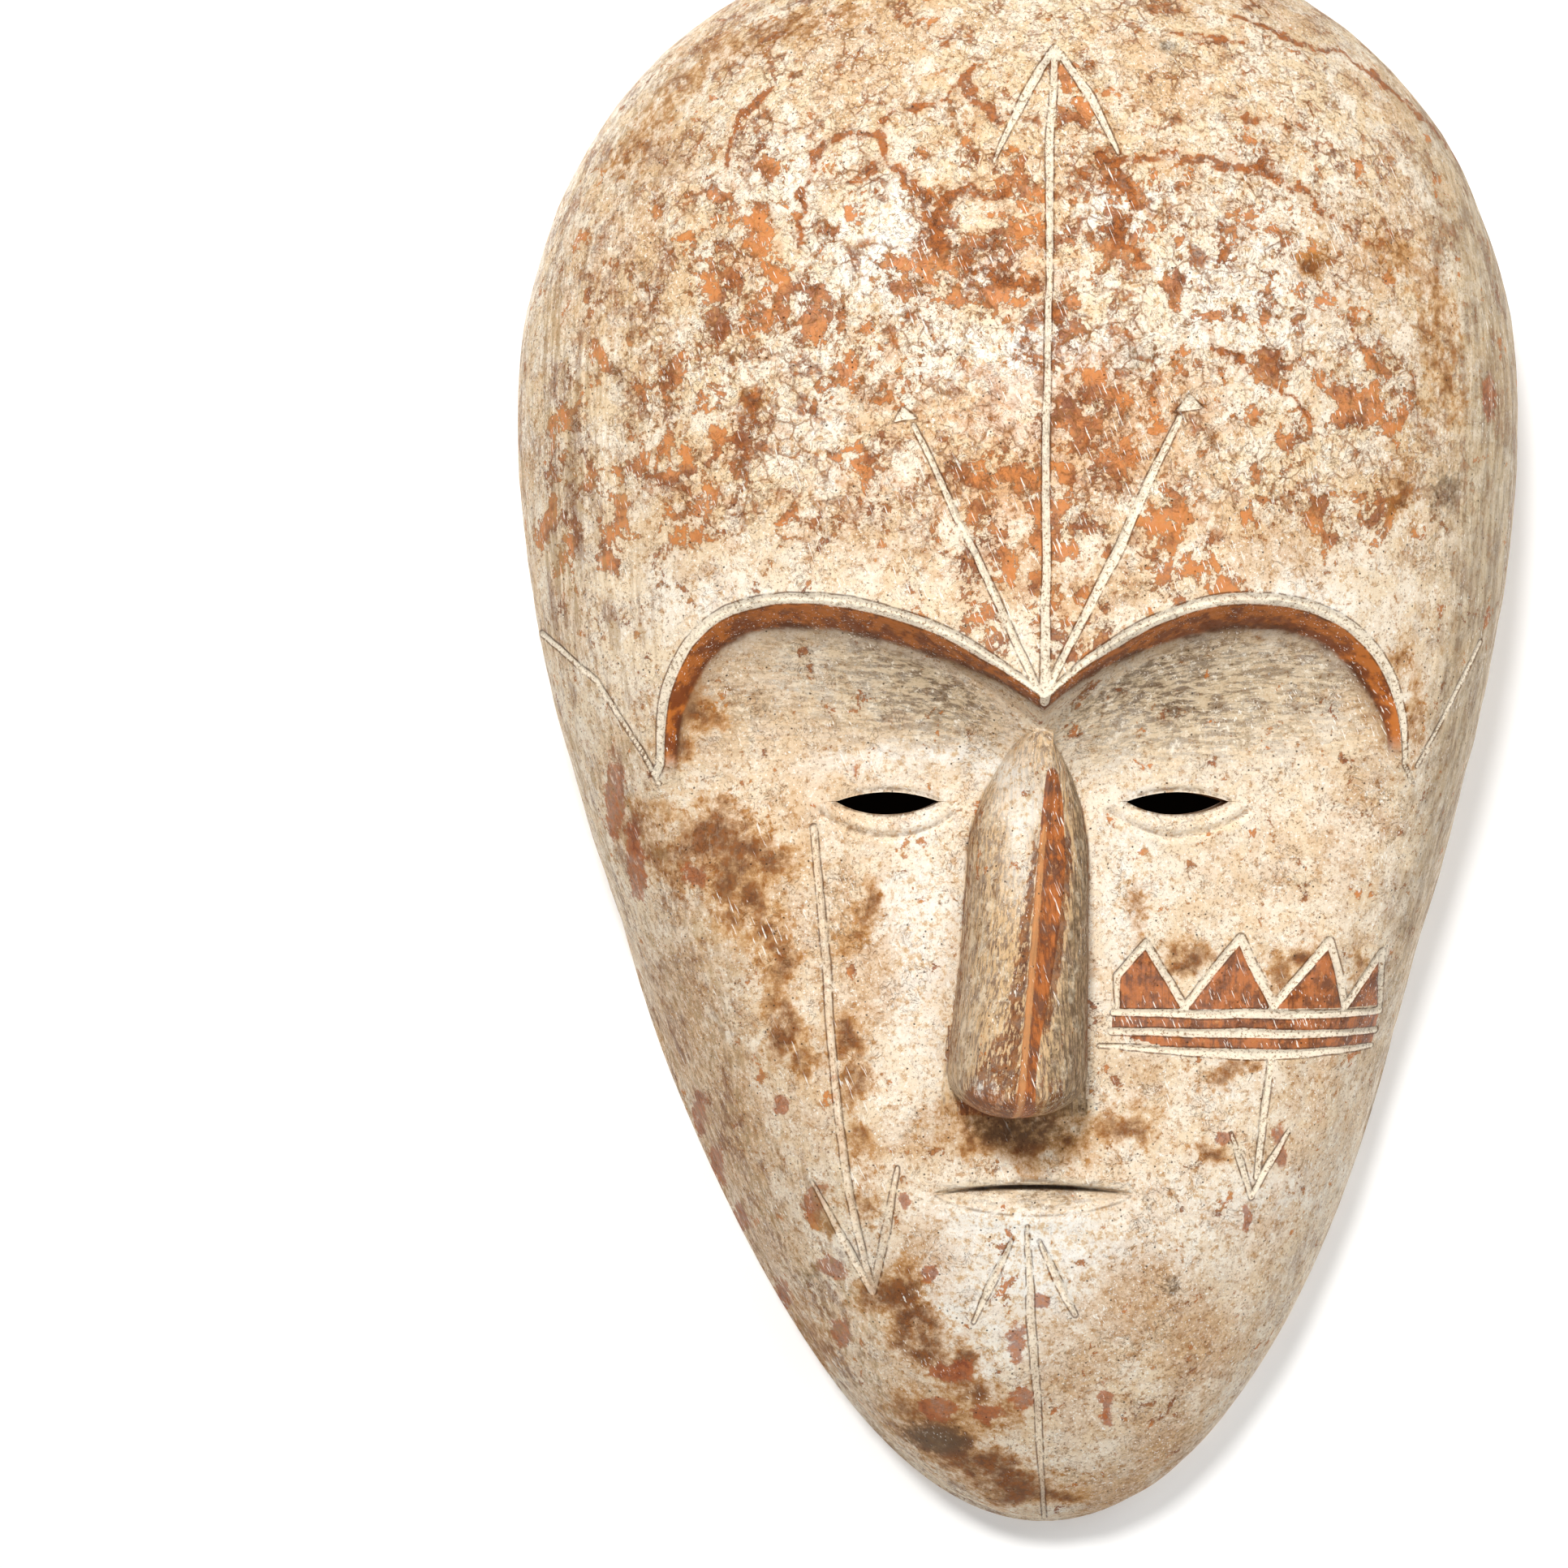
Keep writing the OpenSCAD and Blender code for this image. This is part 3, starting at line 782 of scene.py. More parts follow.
# the grey, flank, crack and soot maps also carry painted shade
PAINT_MAPS = ("line", "brow", "rust", "wash", "stain", "tan", "red", "soot_and_shade", "cream", "vein", "path",
              "streak", "grey", "nose", "orange", "dark", "crack", "crease", "pits", "arch", "crest",
              "chalk", "flank")
PALE_PAINT, WHITE_PAINT, WORN_TAN = "EAD1AB", "FFFEF8", "B9854D"
WOOD_SHINE = {"Specular IOR Level": 0.3}


class PaintedWood(Graph):
    """Worn white paint over orange-brown wood, with some shade painted in. The maps on the mesh say where
    each kind of wear, and the painted shade, is.
    """

    def __init__(self):
        super().__init__("whitened_wood")
        self.here = {name: self.attribute(name) for name in PAINT_MAPS}
        self.mid = self.noise(self.p, 12, 6, 0.62)
        self.small = self.noise(self.p, 5, 6, 0.65)
        self.fine = self.noise(self.p, 2.2, 6, 0.7)
        self.grit = self.noise(self.p, 0.9, 4, 0.7)
        self.flake = self.noise(self.p, 8.5, 8, 0.7, 0.4)
        self.upright = self.noise(self.stretched((1.0, 1.0, 0.09)), 0.9, 5, 0.65)
        self.small_off = self.less(self.small, 0.5)
        self.fine_off = self.less(self.fine, 0.5)
        self.upright_off = self.less(self.upright, 0.5)

    def cover(self, where, strength, colour):
        """Lay a colour over the layers so far, at most as strongly as strength."""
        self.colour = self.blend(self.times(where, strength), self.colour, colour)

    def shown(self, name, low, high):
        return self.step(self.here[name], low, high)

    def broken(self, value, small, fine):
        """A value pushed up and down by the small and the fine noise."""
        return self.add(value, self.add(self.times(self.small_off, small), self.times(self.fine_off, fine)))

    def patch(self, name, small, fine, ends, fade, gain=1.0):
        """Where a map passes the step between the ends, with ragged edges, and nothing where it is empty."""
        ragged = self.broken(self.times(self.here[name], gain), small, fine)
        return self.times(self.step(ragged, *ends), self.shown(name, *fade))

    def base_coat(self):
        """Thin white paint in flakes over beige wood, livelier on the forehead than on the face."""
        lively = self.step(self.here["vein"], 0.2, 0.7, 0.66, 1.0)
        flaked = self.times(self.step(self.flake, 0.44, 0.56), lively)
        self.colour = self.blend(flaked, srgb("F4E5CE"), srgb(PALE_PAINT))
        beige = self.step(self.add(self.noise(self.p, 34, 3), self.times(self.small_off, 1.1)), 0.46, 0.64)
        self.cover(self.times(beige, lively), 0.60, srgb("D8B083"))
        tan = self.step(self.add(self.mid, self.times(self.fine_off, 0.5)), 0.55, 0.70)
        self.cover(self.times(tan, lively), 0.43, srgb(WORN_TAN))
        self.cover(self.here["cream"], 0.75, self.tones(self.fine, 0.46, 0.62, WHITE_PAINT, PALE_PAINT))

    def tan_clouds(self):
        cloudy = self.patch("tan", 0.9, 0.7, (0.10, 1.05), (0.02, 0.3))
        self.cover(cloudy, 0.66, self.tones(self.fine, 0.4, 0.6, "D2A268", "A97338"))

    def wrinkles(self):
        """Wrinkled paint: thin broken outlines, densest at the crown."""
        often = self.step(self.add(self.mid, self.times(self.here["vein"], 0.16)), 0.50, 0.62)
        self.outline = self.times(self.near(self.noise(self.p, 4.2, 5, 0.62, 1.4), 0.5, 0.003, 0.014), often)
        flake_line = self.times(self.near(self.flake, 0.50, 0.001, 0.010), self.step(self.mid, 0.56, 0.42))
        self.cover(self.outline, 0.62, srgb("8A6038"))
        self.cover(flake_line, 0.5, srgb("7A4F2B"))

    def specks(self):
        """Brown grit, less of it where the paint is thick, and flecks of bright paint."""
        thin = self.less(1.0, self.times(self.here["cream"], 0.55))
        self.cover(self.times(self.step(self.fine, 0.54, 0.63), thin), 0.64, srgb(WORN_TAN))
        self.cover(self.times(self.step(self.grit, 0.56, 0.66), thin), 0.74, srgb("7C4E29"))
        self.cover(self.step(self.grit, 0.42, 0.34), 0.85, srgb(WHITE_PAINT))

    def painted_shade_and_grey(self):
        """Painted shade in grey-beige under the brows and above the mouth, with level grain, also the grey of
        the lip's lens; and painted shade down the right side, with upright grain.
        """
        level = self.noise(self.stretched((0.20, 1.0, 1.0)), 1.5, 6, 0.72)
        shade_grey = self.tones(level, 0.44, 0.57, "D5BF9D", "64492D")
        shade_grey = self.blend(self.times(self.step(self.fine, 0.44, 0.36), 0.85), shade_grey, srgb("F9F0DF"))
        self.cover(self.here["grey"], 0.85, shade_grey)
        # painted shade: the right side greyer and darker, as if less lit
        long_grain = self.noise(self.stretched((1.0, 0.8, 0.08)), 2.6, 6, 0.66)
        ragged = self.add(self.times(self.small_off, 1.4), self.times(self.less(self.mid, 0.5), 1.6))
        flank = self.step(self.add(self.here["flank"], ragged), 0.05, 1.05)
        flank = self.times(flank, self.shown("flank", 0.02, 0.3))
        self.cover(flank, 0.72, self.tones(long_grain, 0.40, 0.60, "CFBA97", "8E7452"))

    def nose_wood(self):
        """The nose's worn tan wood, with upright grain."""
        wood = self.tones(self.upright, 0.43, 0.57, "D3AE7D", "6E4828")
        paler = self.step(self.add(self.small, self.times(self.upright_off, 0.4)), 0.50, 0.64)
        self.cover(self.here["nose"], 0.86, self.blend(self.times(paler, 0.8), wood, srgb("EFDDBE")))

    def washes(self):
        """Soft orange washes."""
        self.washed = self.patch("wash", 2.2, 1.6, (0.18, 0.95), (0.03, 0.25))
        wash = self.tones(self.small, 0.40, 0.60, "DE9E68", "BC7C50")
        pinker = self.times(self.step(self.mid, 0.52, 0.62), 0.6)
        self.cover(self.washed, 0.52, self.blend(pinker, wash, srgb("C79A80")))

    def bare_patches(self):
        """Ragged patches where the paint has gone, with a tint round them and a dark rim."""
        patchy = self.less(self.noise(self.p, 11, 9, 0.72, 0.6), 0.5)
        bare = self.add(self.times(self.here["rust"], 0.254), self.times(patchy, 1.25))
        bare = self.broken(bare, 0.45, 0.62)
        self.worn = self.step(bare, 0.166, 0.192)
        rust = self.tones(self.add(self.mid, self.times(self.fine_off, 0.5)), 0.42, 0.62, "CF7A34", "84421F")
        rust = self.blend(self.times(self.step(self.fine, 0.52, 0.68), 0.55), rust, srgb("DDA56C"))
        tinted = self.times(self.step(bare, 0.02, 0.17), self.shown("rust", 0.1, 0.5))
        self.cover(tinted, 0.28, srgb("D8AC78"))
        self.cover(self.worn, 0.86, rust)
        rim = self.times(self.near(bare, 0.168, 0.004, 0.022), self.shown("rust", 0.05, 0.25))
        self.cover(rim, 0.55, srgb("6A3A1C"))

    def stains(self):
        """Brown clouds with soft halos, reddish chips, and soot together with painted shade."""
        halo = self.patch("stain", 2.2, 1.8, (0.02, 0.9), (0.02, 0.25), 1.4)
        core = self.patch("stain", 2.2, 1.8, (0.45, 1.40), (0.02, 0.25), 1.4)
        self.cover(halo, 0.68, srgb("C58A42"))
        self.cover(core, 0.90, self.tones(self.fine, 0.42, 0.62, "5A2E12", "8A4F22"))
        reddish = self.patch("red", 1.2, 0.9, (0.42, 0.62), (0.05, 0.2))
        self.cover(reddish, 0.74, self.tones(self.fine, 0.42, 0.6, "863F20", "B86A40"))
        # soot patches, with painted shade under the nose, beside its root, on its faces and low on the right
        # side
        self.cover(self.patch("soot_and_shade", 0.0, 1.6, (0.35, 0.9), (0.04, 0.25)), 0.72, srgb("5B4C39"))

    def veins(self):
        """Placed veins, and warped nets of finer ones between them."""
        push = self.noise(self.p, 7, 5, 0.65, output="Color")
        width = self.step(self.small, 0.40, 0.62, 0.5, 2.0)
        edge = self.math("DIVIDE", self.cell_edge(self.shifted(push, 15.0), 11.0), width)
        net = self.times(self.step(edge, 0.2, 1.0, 1.0, 0.0), self.step(self.mid, 0.50, 0.60))
        self.net = self.times(net, self.here["vein"])
        fine_edge = self.cell_edge(self.shifted(push, 5.0), 5.2)
        fine_net = self.times(self.step(fine_edge, 0.08, 0.42, 1.0, 0.0), self.shown("vein", 0.25, 0.8))
        often = self.step(self.add(self.mid, self.times(self.small_off, 0.5)), 0.42, 0.58)
        self.fine_net = self.times(fine_net, often)
        vein = self.tones(self.fine, 0.38, 0.64, "6E3C1C", "B5672F")
        self.cover(self.shown("path", 0.05, 0.8), 0.36, srgb("BD8750"))
        self.cover(self.fine_net, 0.70, srgb("8C5A2C"))
        self.cover(self.net, 0.78, vein)
        self.cover(self.patch("path", 2.6, 2.0, (0.62, 0.95), (0.04, 0.2)), 0.88, vein)

    def streaks(self):
        """Upright streaks on the flanks."""
        thin = self.noise(self.stretched((1.0, 0.8, 0.08)), 2.0, 6, 0.68)
        broad = self.noise(self.stretched((1.0, 1.0, 0.16)), 10, 5, 0.62)
        dark = self.step(self.add(self.times(thin, 0.6), self.times(broad, 0.4)), 0.475, 0.60)
        brown = self.tones(self.mid, 0.44, 0.58, "A88659", "84563A")
        self.cover(self.times(dark, self.here["streak"]), 0.80, brown)
        self.cover(self.times(self.step(thin, 0.42, 0.34), self.here["streak"]), 0.6, srgb("FBEBD2"))

    def varnished_wood(self):
        """Orange wood on the ridge and in the zigzag's fields, dark wood beside the ridge, and its crest."""
        grain = self.add(self.small, self.times(self.upright_off, 0.5))
        glow = self.tones(grain, 0.40, 0.62, "B96526", "6E3514")
        glow = self.blend(self.times(self.step(self.fine, 0.58, 0.68), 0.5), glow, srgb("D8A473"))
        self.orange = self.step(self.broken(self.here["orange"], 0.45, 0.45), 0.36, 0.58)
        self.cover(self.times(self.orange, self.shown("orange", 0.03, 0.2)), 0.92, glow)
        dark = self.add(self.broken(self.here["dark"], 1.5, 1.6), self.times(self.upright_off, 1.5))
        dark = self.times(self.step(dark, 0.40, 0.72), self.shown("dark", 0.03, 0.2))
        self.cover(dark, 0.82, self.tones(self.fine, 0.42, 0.6, "5A2C17", "8E5428"))
        self.cover(self.step(self.add(self.here["crest"], self.fine_off), 0.35, 0.8), 0.75, srgb("DE9F66"))

    def brow_band(self):
        """The orange band cut under the brows, with painted shade below it and a dark lower edge."""
        below = self.add(self.here["brow"], self.times(self.small_off, 1.6))
        # painted shade: grey-brown darkening the socket just under the band's step
        shade_under_band = self.times(self.step(below, 6.0, 13.0, 1.0, 0.0), self.shown("brow", 0.5, 1.0))
        self.cover(self.times(shade_under_band, self.here["arch"]), 0.55, srgb("84664A"))
        band = self.times(self.shown("brow", 0.35, 0.75), self.step(below, 6.0, 7.3, 1.0, 0.0))
        self.band = self.times(band, self.here["arch"])
        shade = self.add(self.small, self.times(below, 0.03))
        self.cover(self.band, 0.95, self.tones(shade, 0.52, 0.70, "C67026", "824015"))
        lower = self.times(self.step(below, 4.6, 6.2), self.step(below, 6.4, 8.4, 1.0, 0.0))
        lower = self.times(self.times(lower, self.here["arch"]), self.step(self.mid, 0.42, 0.58))
        self.cover(lower, 0.85, srgb("5F3215"))

    def scratches(self):
        """Bright slanting scratches, most of them where wood shows."""
        slanted = self.fed("ShaderNodeVectorRotate", {"Vector": self.p, "Angle": math.radians(22)},
                           rotation_type="Y_AXIS").outputs[0]
        scratch = self.noise(self.vector("MULTIPLY", slanted, (1.0, 1.0, 0.09)), 0.62, 2, 0.5)
        wood = self.add(self.worn, self.add(self.washed, self.add(self.band, self.orange)))
        wood = self.times(self.math("MINIMUM", wood, 1.0), 0.10)
        often = self.step(self.add(self.noise(self.p, 16, 2), wood), 0.50, 0.62)
        self.cover(self.times(self.step(scratch, 0.64, 0.68), often), 0.85, srgb("FFF8EC"))

    def dark_pits(self):
        cells = self.cells(self.p, 2.4, "F1")
        chance = self.fed("ShaderNodeSeparateColor", {0: cells.outputs["Color"]}).outputs[0]
        often = self.step(self.add(chance, self.times(self.here["pits"], 0.5)), 0.68, 0.72)
        self.pit = self.times(self.step(cells.outputs["Distance"], 0.07, 0.15, 1.0, 0.0), often)
        self.cover(self.pit, 0.85, srgb("3D2A1B"))

    def engraving(self):
        """Creases, then engraved lines with a dark edge and a chalky fill, and painted shade in the mouth's
        slit.
        """
        crease = self.add(self.here["crease"], self.times(self.fine_off, 0.9))
        crease = self.step(crease, -0.15, 0.45, 1.0, 0.0)
        uneven = self.step(self.add(self.small, self.fine_off), 0.36, 0.58, 0.25, 1.0)
        self.cover(self.times(crease, uneven), 0.62, srgb("6E5238"))
        often = self.step(self.add(self.small, self.times(self.fine_off, 0.6)), 0.36, 0.52)
        self.cover(self.times(self.near(self.here["line"], 0.14, 0.06, 0.42), often), 0.72, srgb("553218"))
        filled = self.add(self.here["line"], self.times(self.fine_off, 0.55))
        filled = self.step(filled, -0.22, 0.04, 1.0, 0.0)
        self.cover(filled, self.here["chalk"], self.tones(self.grit, 0.50, 0.66, "F6E9D3", "A08462"))
        # painted shade: near-black along the mouth's slit
        self.cover(self.step(self.here["crack"], -0.35, 0.45, 1.0, 0.0), 0.88, srgb("2A1D12"))

    def surface(self):
        """The finished material, with the fine relief of the cracks and pits as bump."""
        height = self.add(self.times(self.fine, 0.34), self.times(self.upright, 0.16))
        for sunk, depth in ((self.net, 0.22), (self.outline, 0.24), (self.fine_net, 0.20), (self.pit, 0.55),
                            (self.worn, 0.20)):
            height = self.add(height, self.times(self.less(1.0, sunk), depth))
        varnish = self.math("MINIMUM", self.add(self.orange, self.band), 1.0)
        rough = self.less(self.step(self.fine, 0.3, 0.7, 0.62, 0.86), self.times(varnish, 0.22))
        return self.principled(self.colour, rough, self.bump(height, 0.5, 0.85), **WOOD_SHINE)


def paint_material():
    g = PaintedWood()
    for layer in (g.base_coat, g.tan_clouds, g.wrinkles, g.specks, g.painted_shade_and_grey, g.nose_wood, g.washes,
                  g.bare_patches, g.stains, g.veins, g.streaks, g.varnished_wood, g.brow_band, g.scratches,
                  g.dark_pits, g.engraving):
        layer()
    return g.surface()


def bare_material():
    """The hollow and the sawn rim: raw brown wood with grain."""
    g = Graph("hollowed_wood")
    grain = g.noise(g.stretched((1.0, 0.5, 0.07)), 1.6, 5, 0.6)
    bands = g.noise(g.stretched((1.0, 1.0, 0.12)), 14, 4, 0.6)
    blotch = g.noise(g.p, 28, 5, 0.6)
    fine = g.noise(g.p, 1.4, 4, 0.6)
    c = g.tones(bands, 0.36, 0.64, "A98258", "86603B")
    c = g.blend(g.times(g.step(grain, 0.44, 0.62), 0.55), c, srgb("65421F"))
    c = g.blend(g.times(g.step(blotch, 0.48, 0.66), 0.5), c, srgb("C9AC84"))
    c = g.blend(g.times(g.step(fine, 0.55, 0.7), 0.25), c, srgb("4E3118"))
    height = g.add(g.times(grain, 0.6), g.times(fine, 0.3))
    rough = g.step(grain, 0.3, 0.7, 0.6, 0.8)
    return g.principled(c, rough, g.bump(height, 0.5, 0.7), **WOOD_SHINE)


def steel_material(name, light, dull, cloud_size):
    """Brushed steel with dull clouds and brown specks."""
    g = Graph(name)
    cloud = g.noise(g.p, cloud_size, 5, 0.6)
    specks = g.noise(g.p, 0.5, 3, 0.6)
    brushed = g.noise(g.stretched((1.0, 1.0, 0.12)), 0.3, 3, 0.6)
    c = g.tones(cloud, 0.4, 0.65, light, dull)
    c = g.blend(g.times(g.step(specks, 0.62, 0.72), 0.5), c, srgb("5B4A38"))
    height = g.add(brushed, g.times(specks, 0.6))
    rough = g.step(cloud, 0.3, 0.7, 0.26, 0.45)
    return g.principled(c, rough, g.bump(height, 0.05, 0.5), Metallic=1.0)


# ---------------------------------------------------------------------------
# Where the paint is worn, stained and crackled, with some shadow painted under the nose: (x, s, radius x,
# radius s, strength)
# ---------------------------------------------------------------------------

RUST = [
    (-81, 98, 7, 7, 1.0), (-79, 105, 6, 7, 1.0), (-76, 114, 5, 10, 1.0), (-76, 124, 6, 8, 1.1),
    (-89, 116, 6, 6, 0.9), (-91, 131, 6, 6, 1.0), (-123, 119, 4, 5, 0.8), (-122, 134, 5, 8, 0.9),
    (-85, 156, 9, 7, 1.0), (-112, 164, 4, 8, 0.9), (-100, 165, 5, 6, 0.9), (-61, 131, 8, 7, 1.1),
    (-55, 145, 4, 8, 0.9), (-38, 119, 8, 6, 1.1), (-31, 95, 6, 6, 1.0), (-28, 104, 6, 8, 1.0),
    (-19, 110, 8, 6, 1.0), (-13, 120, 13, 5, 1.1), (-3, 105, 7, 5, 1.1), (-75, 83, 4, 5, 0.8),
    (-47, 172, 11, 7, 0.8), (-97, 180, 8, 7, 0.9), (-37, 145, 6, 6, 0.8), (22, 88, 7, 5, 1.0),
    (25, 95, 5, 7, 1.0), (23, 107, 7, 5, 1.1), (29, 110, 8, 4, 1.0), (-3, 92, 7, 6, 1.0),
    (6, 103, 4, 9, 1.1), (40, 117, 5, 6, 0.9), (-3, 116, 7, 6, 1.1), (12, 125, 6, 9, 0.9),
    (89, 147, 6, 7, 1.0), (94, 152, 8, 4, 1.2), (99, 136, 3, 6, 1.0), (68, 142, 5, 4, 0.9),
    (104, 141, 3, 6, 0.8), (75, 163, 4, 7, 0.9), (98, 179, 6, 8, 0.9), (59, 155, 5, 6, 0.9),
    (13, 72, 5, 4, 1.0), (9, 63, 4, 5, 1.0), (-10, 172, 11, 7, 1.0), (5, 184, 11, 7, 1.0),
    (-15, 184, 8, 6, 0.9), (14, 166, 13, 8, 1.0), (-10, 197, 9, 4, 1.0), (35, 184, 9, 6, 0.9),
    (51, 206, 12, 3, 1.0), (37, 197, 10, 6, 0.9), (84, 185, 5, 8, 0.9), (65, 179, 7, 8, 0.8),
    (43, 141, 6, 4, 0.9), (-133, 152, 4, 11, 0.9), (-135, 183, 5, 9, 0.9), (-118, 184, 5, 9, 0.8),
    (-128, 169, 4, 8, 0.8), (-104, 143, 5, 8, 0.9), (18, 150, 15, 7, 0.9), (-20, 75, 5, 6, 0.8),
    (-60, 183, 12, 6, 0.6), (10, 215, 10, 12, 0.8), (-14, 215, 8, 8, 0.7), (-55, 100, 5, 5, 0.6),
    (55, 110, 30, 25, 0.35), (0, 120, 70, 60, 0.12), (-95, 140, 30, 60, 0.30),
]
WASH = [
    (15, 148, 21, 11, 0.9), (10, 164, 20, 13, 1.0), (-11, 155, 12, 13, 0.8), (-10, 177, 16, 12, 0.9),
    (29, 153, 16, 9, 0.8), (-3, 112, 12, 15, 0.8), (-47, 174, 16, 9, 0.7), (-78, 119, 9, 26, 0.6),
    (-8, 193, 16, 8, 0.7), (-28, 107, 9, 15, 0.6), (-85, 160, 12, 10, 0.6), (37, 184, 16, 12, 0.6),
    (-94, 173, 14, 12, 0.5), (8, 205, 12, 12, 0.6), (-40, 150, 16, 20, 0.4),
]
STAIN = [
    (-91, 271, 8, 8, 0.95), (-80, 277, 9, 8, 1.0), (-101, 277, 10, 5, 0.8), (-111, 271, 6, 6, 0.8),
    (-96, 284, 6, 5, 0.7), (-84, 284, 9, 7, 0.95), (-80, 293, 7, 8, 0.95), (-75, 301, 6, 7, 0.9),
    (-72, 309, 5, 5, 0.85), (-74, 319, 4, 6, 0.7), (-70, 329, 5, 8, 0.85), (-63, 338, 6, 3, 0.8),
    (-46, 293, 4, 6, 0.8), (-50, 302, 4, 4, 0.8), (-50, 332, 4.5, 4.5, 1.0), (-50, 343, 4, 7, 0.8),
    (-49, 362, 4, 6, 0.7), (-39, 407, 7, 7, 0.95), (-33, 416, 7, 7, 1.0), (-28, 424, 6, 6, 0.9),
    (-21, 430, 7, 5, 0.9), (-14, 437, 7, 5, 0.9), (-10, 444, 7, 5, 0.8), (-24, 452, 9, 6, 1.0),
    (-18, 456, 7, 6, 1.0), (-9, 462, 9, 6, 1.1), (0, 470, 9, 5, 1.1), (11, 472, 7, 4, 0.9),
    (-30, 444, 5, 5, 0.8), (49, 308, 6, 4, 0.9), (81, 306, 4, 4, 1.0), (75, 312, 4, 6, 0.8),
    (98, 313, 3, 4, 0.8), (33, 298, 3, 9, 0.6), (59, 341, 7, 4, 0.7), (30, 357, 6, 5, 0.85),
    (53, 363, 6, 3.5, 0.75), (-96, 235, 6, 5, 0.9), (-103, 242, 3.5, 8, 0.9), (122, 129, 4, 7, 0.7),
    (105, 174, 4, 6, 0.8), (80, 111, 4, 3, 0.9), (-79, 149, 3.5, 3, 1.1), (-46, 378, 4, 7, 0.6),
    # (-3, 359) below the nose: a stain that is partly painted shadow under the nose
    (-57, 385, 4, 6, 0.5), (-3, 359, 18, 8, 0.85), (-62, 430, 7, 13, 0.7), (110, 240, 3, 10, 0.7),
    (105, 222, 4, 5, 0.6),
]
TAN = [
    (52, 421, 11, 20, 1.0), (34, 407, 15, 15, 1.0), (15, 436, 14, 20, 0.8), (26, 471, 16, 8, 1.1),
    (43, 455, 13, 13, 1.0), (-37, 364, 20, 8, 0.8), (-101, 326, 14, 30, 0.8), (-86, 363, 13, 26, 0.9),
    (-62, 348, 14, 22, 0.7), (-48, 313, 10, 30, 0.7), (83, 347, 20, 15, 0.5), (32, 341, 12, 9, 0.7),
    (-74, 294, 22, 26, 0.8), (-5, 360, 25, 7, 0.9), (-101, 178, 21, 20, 0.6), (100, 242, 8, 30, 0.6),
    (-113, 110, 14, 26, 0.6), (-104, 77, 14, 17, 0.8), (-21, 447, 22, 16, 0.8), (10, 202, 28, 8, 0.7),
    (-49, 188, 28, 10, 0.7), (80, 325, 10, 14, 0.5), (-33, 399, 12, 15, 0.8), (70, 192, 21, 12, 0.6),
    (-75, 400, 12, 26, 0.8), (90, 110, 26, 26, 0.6), (110, 150, 16, 40, 0.5), (0, 70, 60, 22, 0.5),
    (-95, 235, 14, 14, 0.5), (95, 285, 10, 30, 0.5), (70, 395, 18, 24, 0.5),
]
REDDISH = [
    (-71, 351, 2.6, 2.6, 1.0), (-61, 381, 2.6, 5, 1.0), (-53, 422, 3.5, 5, 1.0), (-24, 444, 5, 3.5, 1.0),
    (-57, 401, 5, 3, 0.9), (-28, 401, 2.4, 2.4, 1.0), (26, 443, 2.8, 7, 0.8), (76, 364, 1.8, 5, 1.0),
    (65, 385, 1.6, 4, 1.0), (58, 360, 3.4, 2, 0.9), (-21, 431, 6, 3, 1.0), (-10, 444, 5, 3, 1.0),
    (-34, 379, 2, 3, 0.9), (-2, 423, 3, 6, 0.8), (5, 408, 2.4, 2.6, 0.9), (0, 440, 3.5, 3.5, 0.9),
    (-96, 359, 2.6, 8, 0.9), (-90, 375, 2.6, 8, 0.9), (-84, 393, 3, 8, 0.9), (-119, 261, 3, 11, 1.1),
    (-113, 280, 3, 11, 1.1), (-48, 252, 5, 3, 0.6), (-96, 284, 3.4, 4, 0.9), (-70, 415, 3, 8, 0.8),
    (135, 146, 2.5, 5, 1.0),
]
# soot patches; the first, under the nose, is partly painted shadow below its overhang
SOOT_AND_SHADE = [
    (-1, 358, 18, 6, 0.75), (-24, 454, 10, 5, 1.0), (44, 405, 4, 4, 0.7), (120, 173, 7, 8, 0.8),
    (28, 139, 8, 4, 0.7), (-62, 405, 5, 6, 0.6), (40, 48, 5, 3, 0.8), (-118, 142, 5, 12, 0.5),
    (-110, 112, 5, 8, 0.5),
]
CREAM = [
    (2, 387, 30, 6, 1.0), (2, 393, 32, 9, 1.0), (0, 402, 24, 14, 1.0), (-24, 405, 9, 12, 0.9),
    (26, 394, 26, 9, 0.8), (-6, 420, 14, 10, 0.7), (-31, 300, 10, 36, 0.8), (30, 283, 7, 26, 0.6),
    (-42, 108, 13, 16, 0.9), (24, 99, 9, 9, 0.8), (-4, 139, 20, 8, 0.9), (-8, 253, 9, 5, 1.0),
    (-24, 247, 13, 3, 1.0), (-44, 251, 12, 3, 0.8), (60, 120, 26, 22, 0.7), (-20, 410, 10, 14, 0.8),
    (-60, 122, 8, 8, 0.6), (-13, 116, 6, 4, 1.0), (-2, 268, 6, 18, 1.0), (-14, 343, 2.5, 3.5, 1.0),
    (60, 380, 26, 8, 0.6), (-72, 85, 12, 12, 0.5), (-60, 155, 8, 20, 0.5), (78, 205, 12, 8, 0.7),
    (-90, 205, 12, 8, 0.6), (-12, 425, 6, 12, 0.7), (60, 345, 6, 10, 0.4),
]
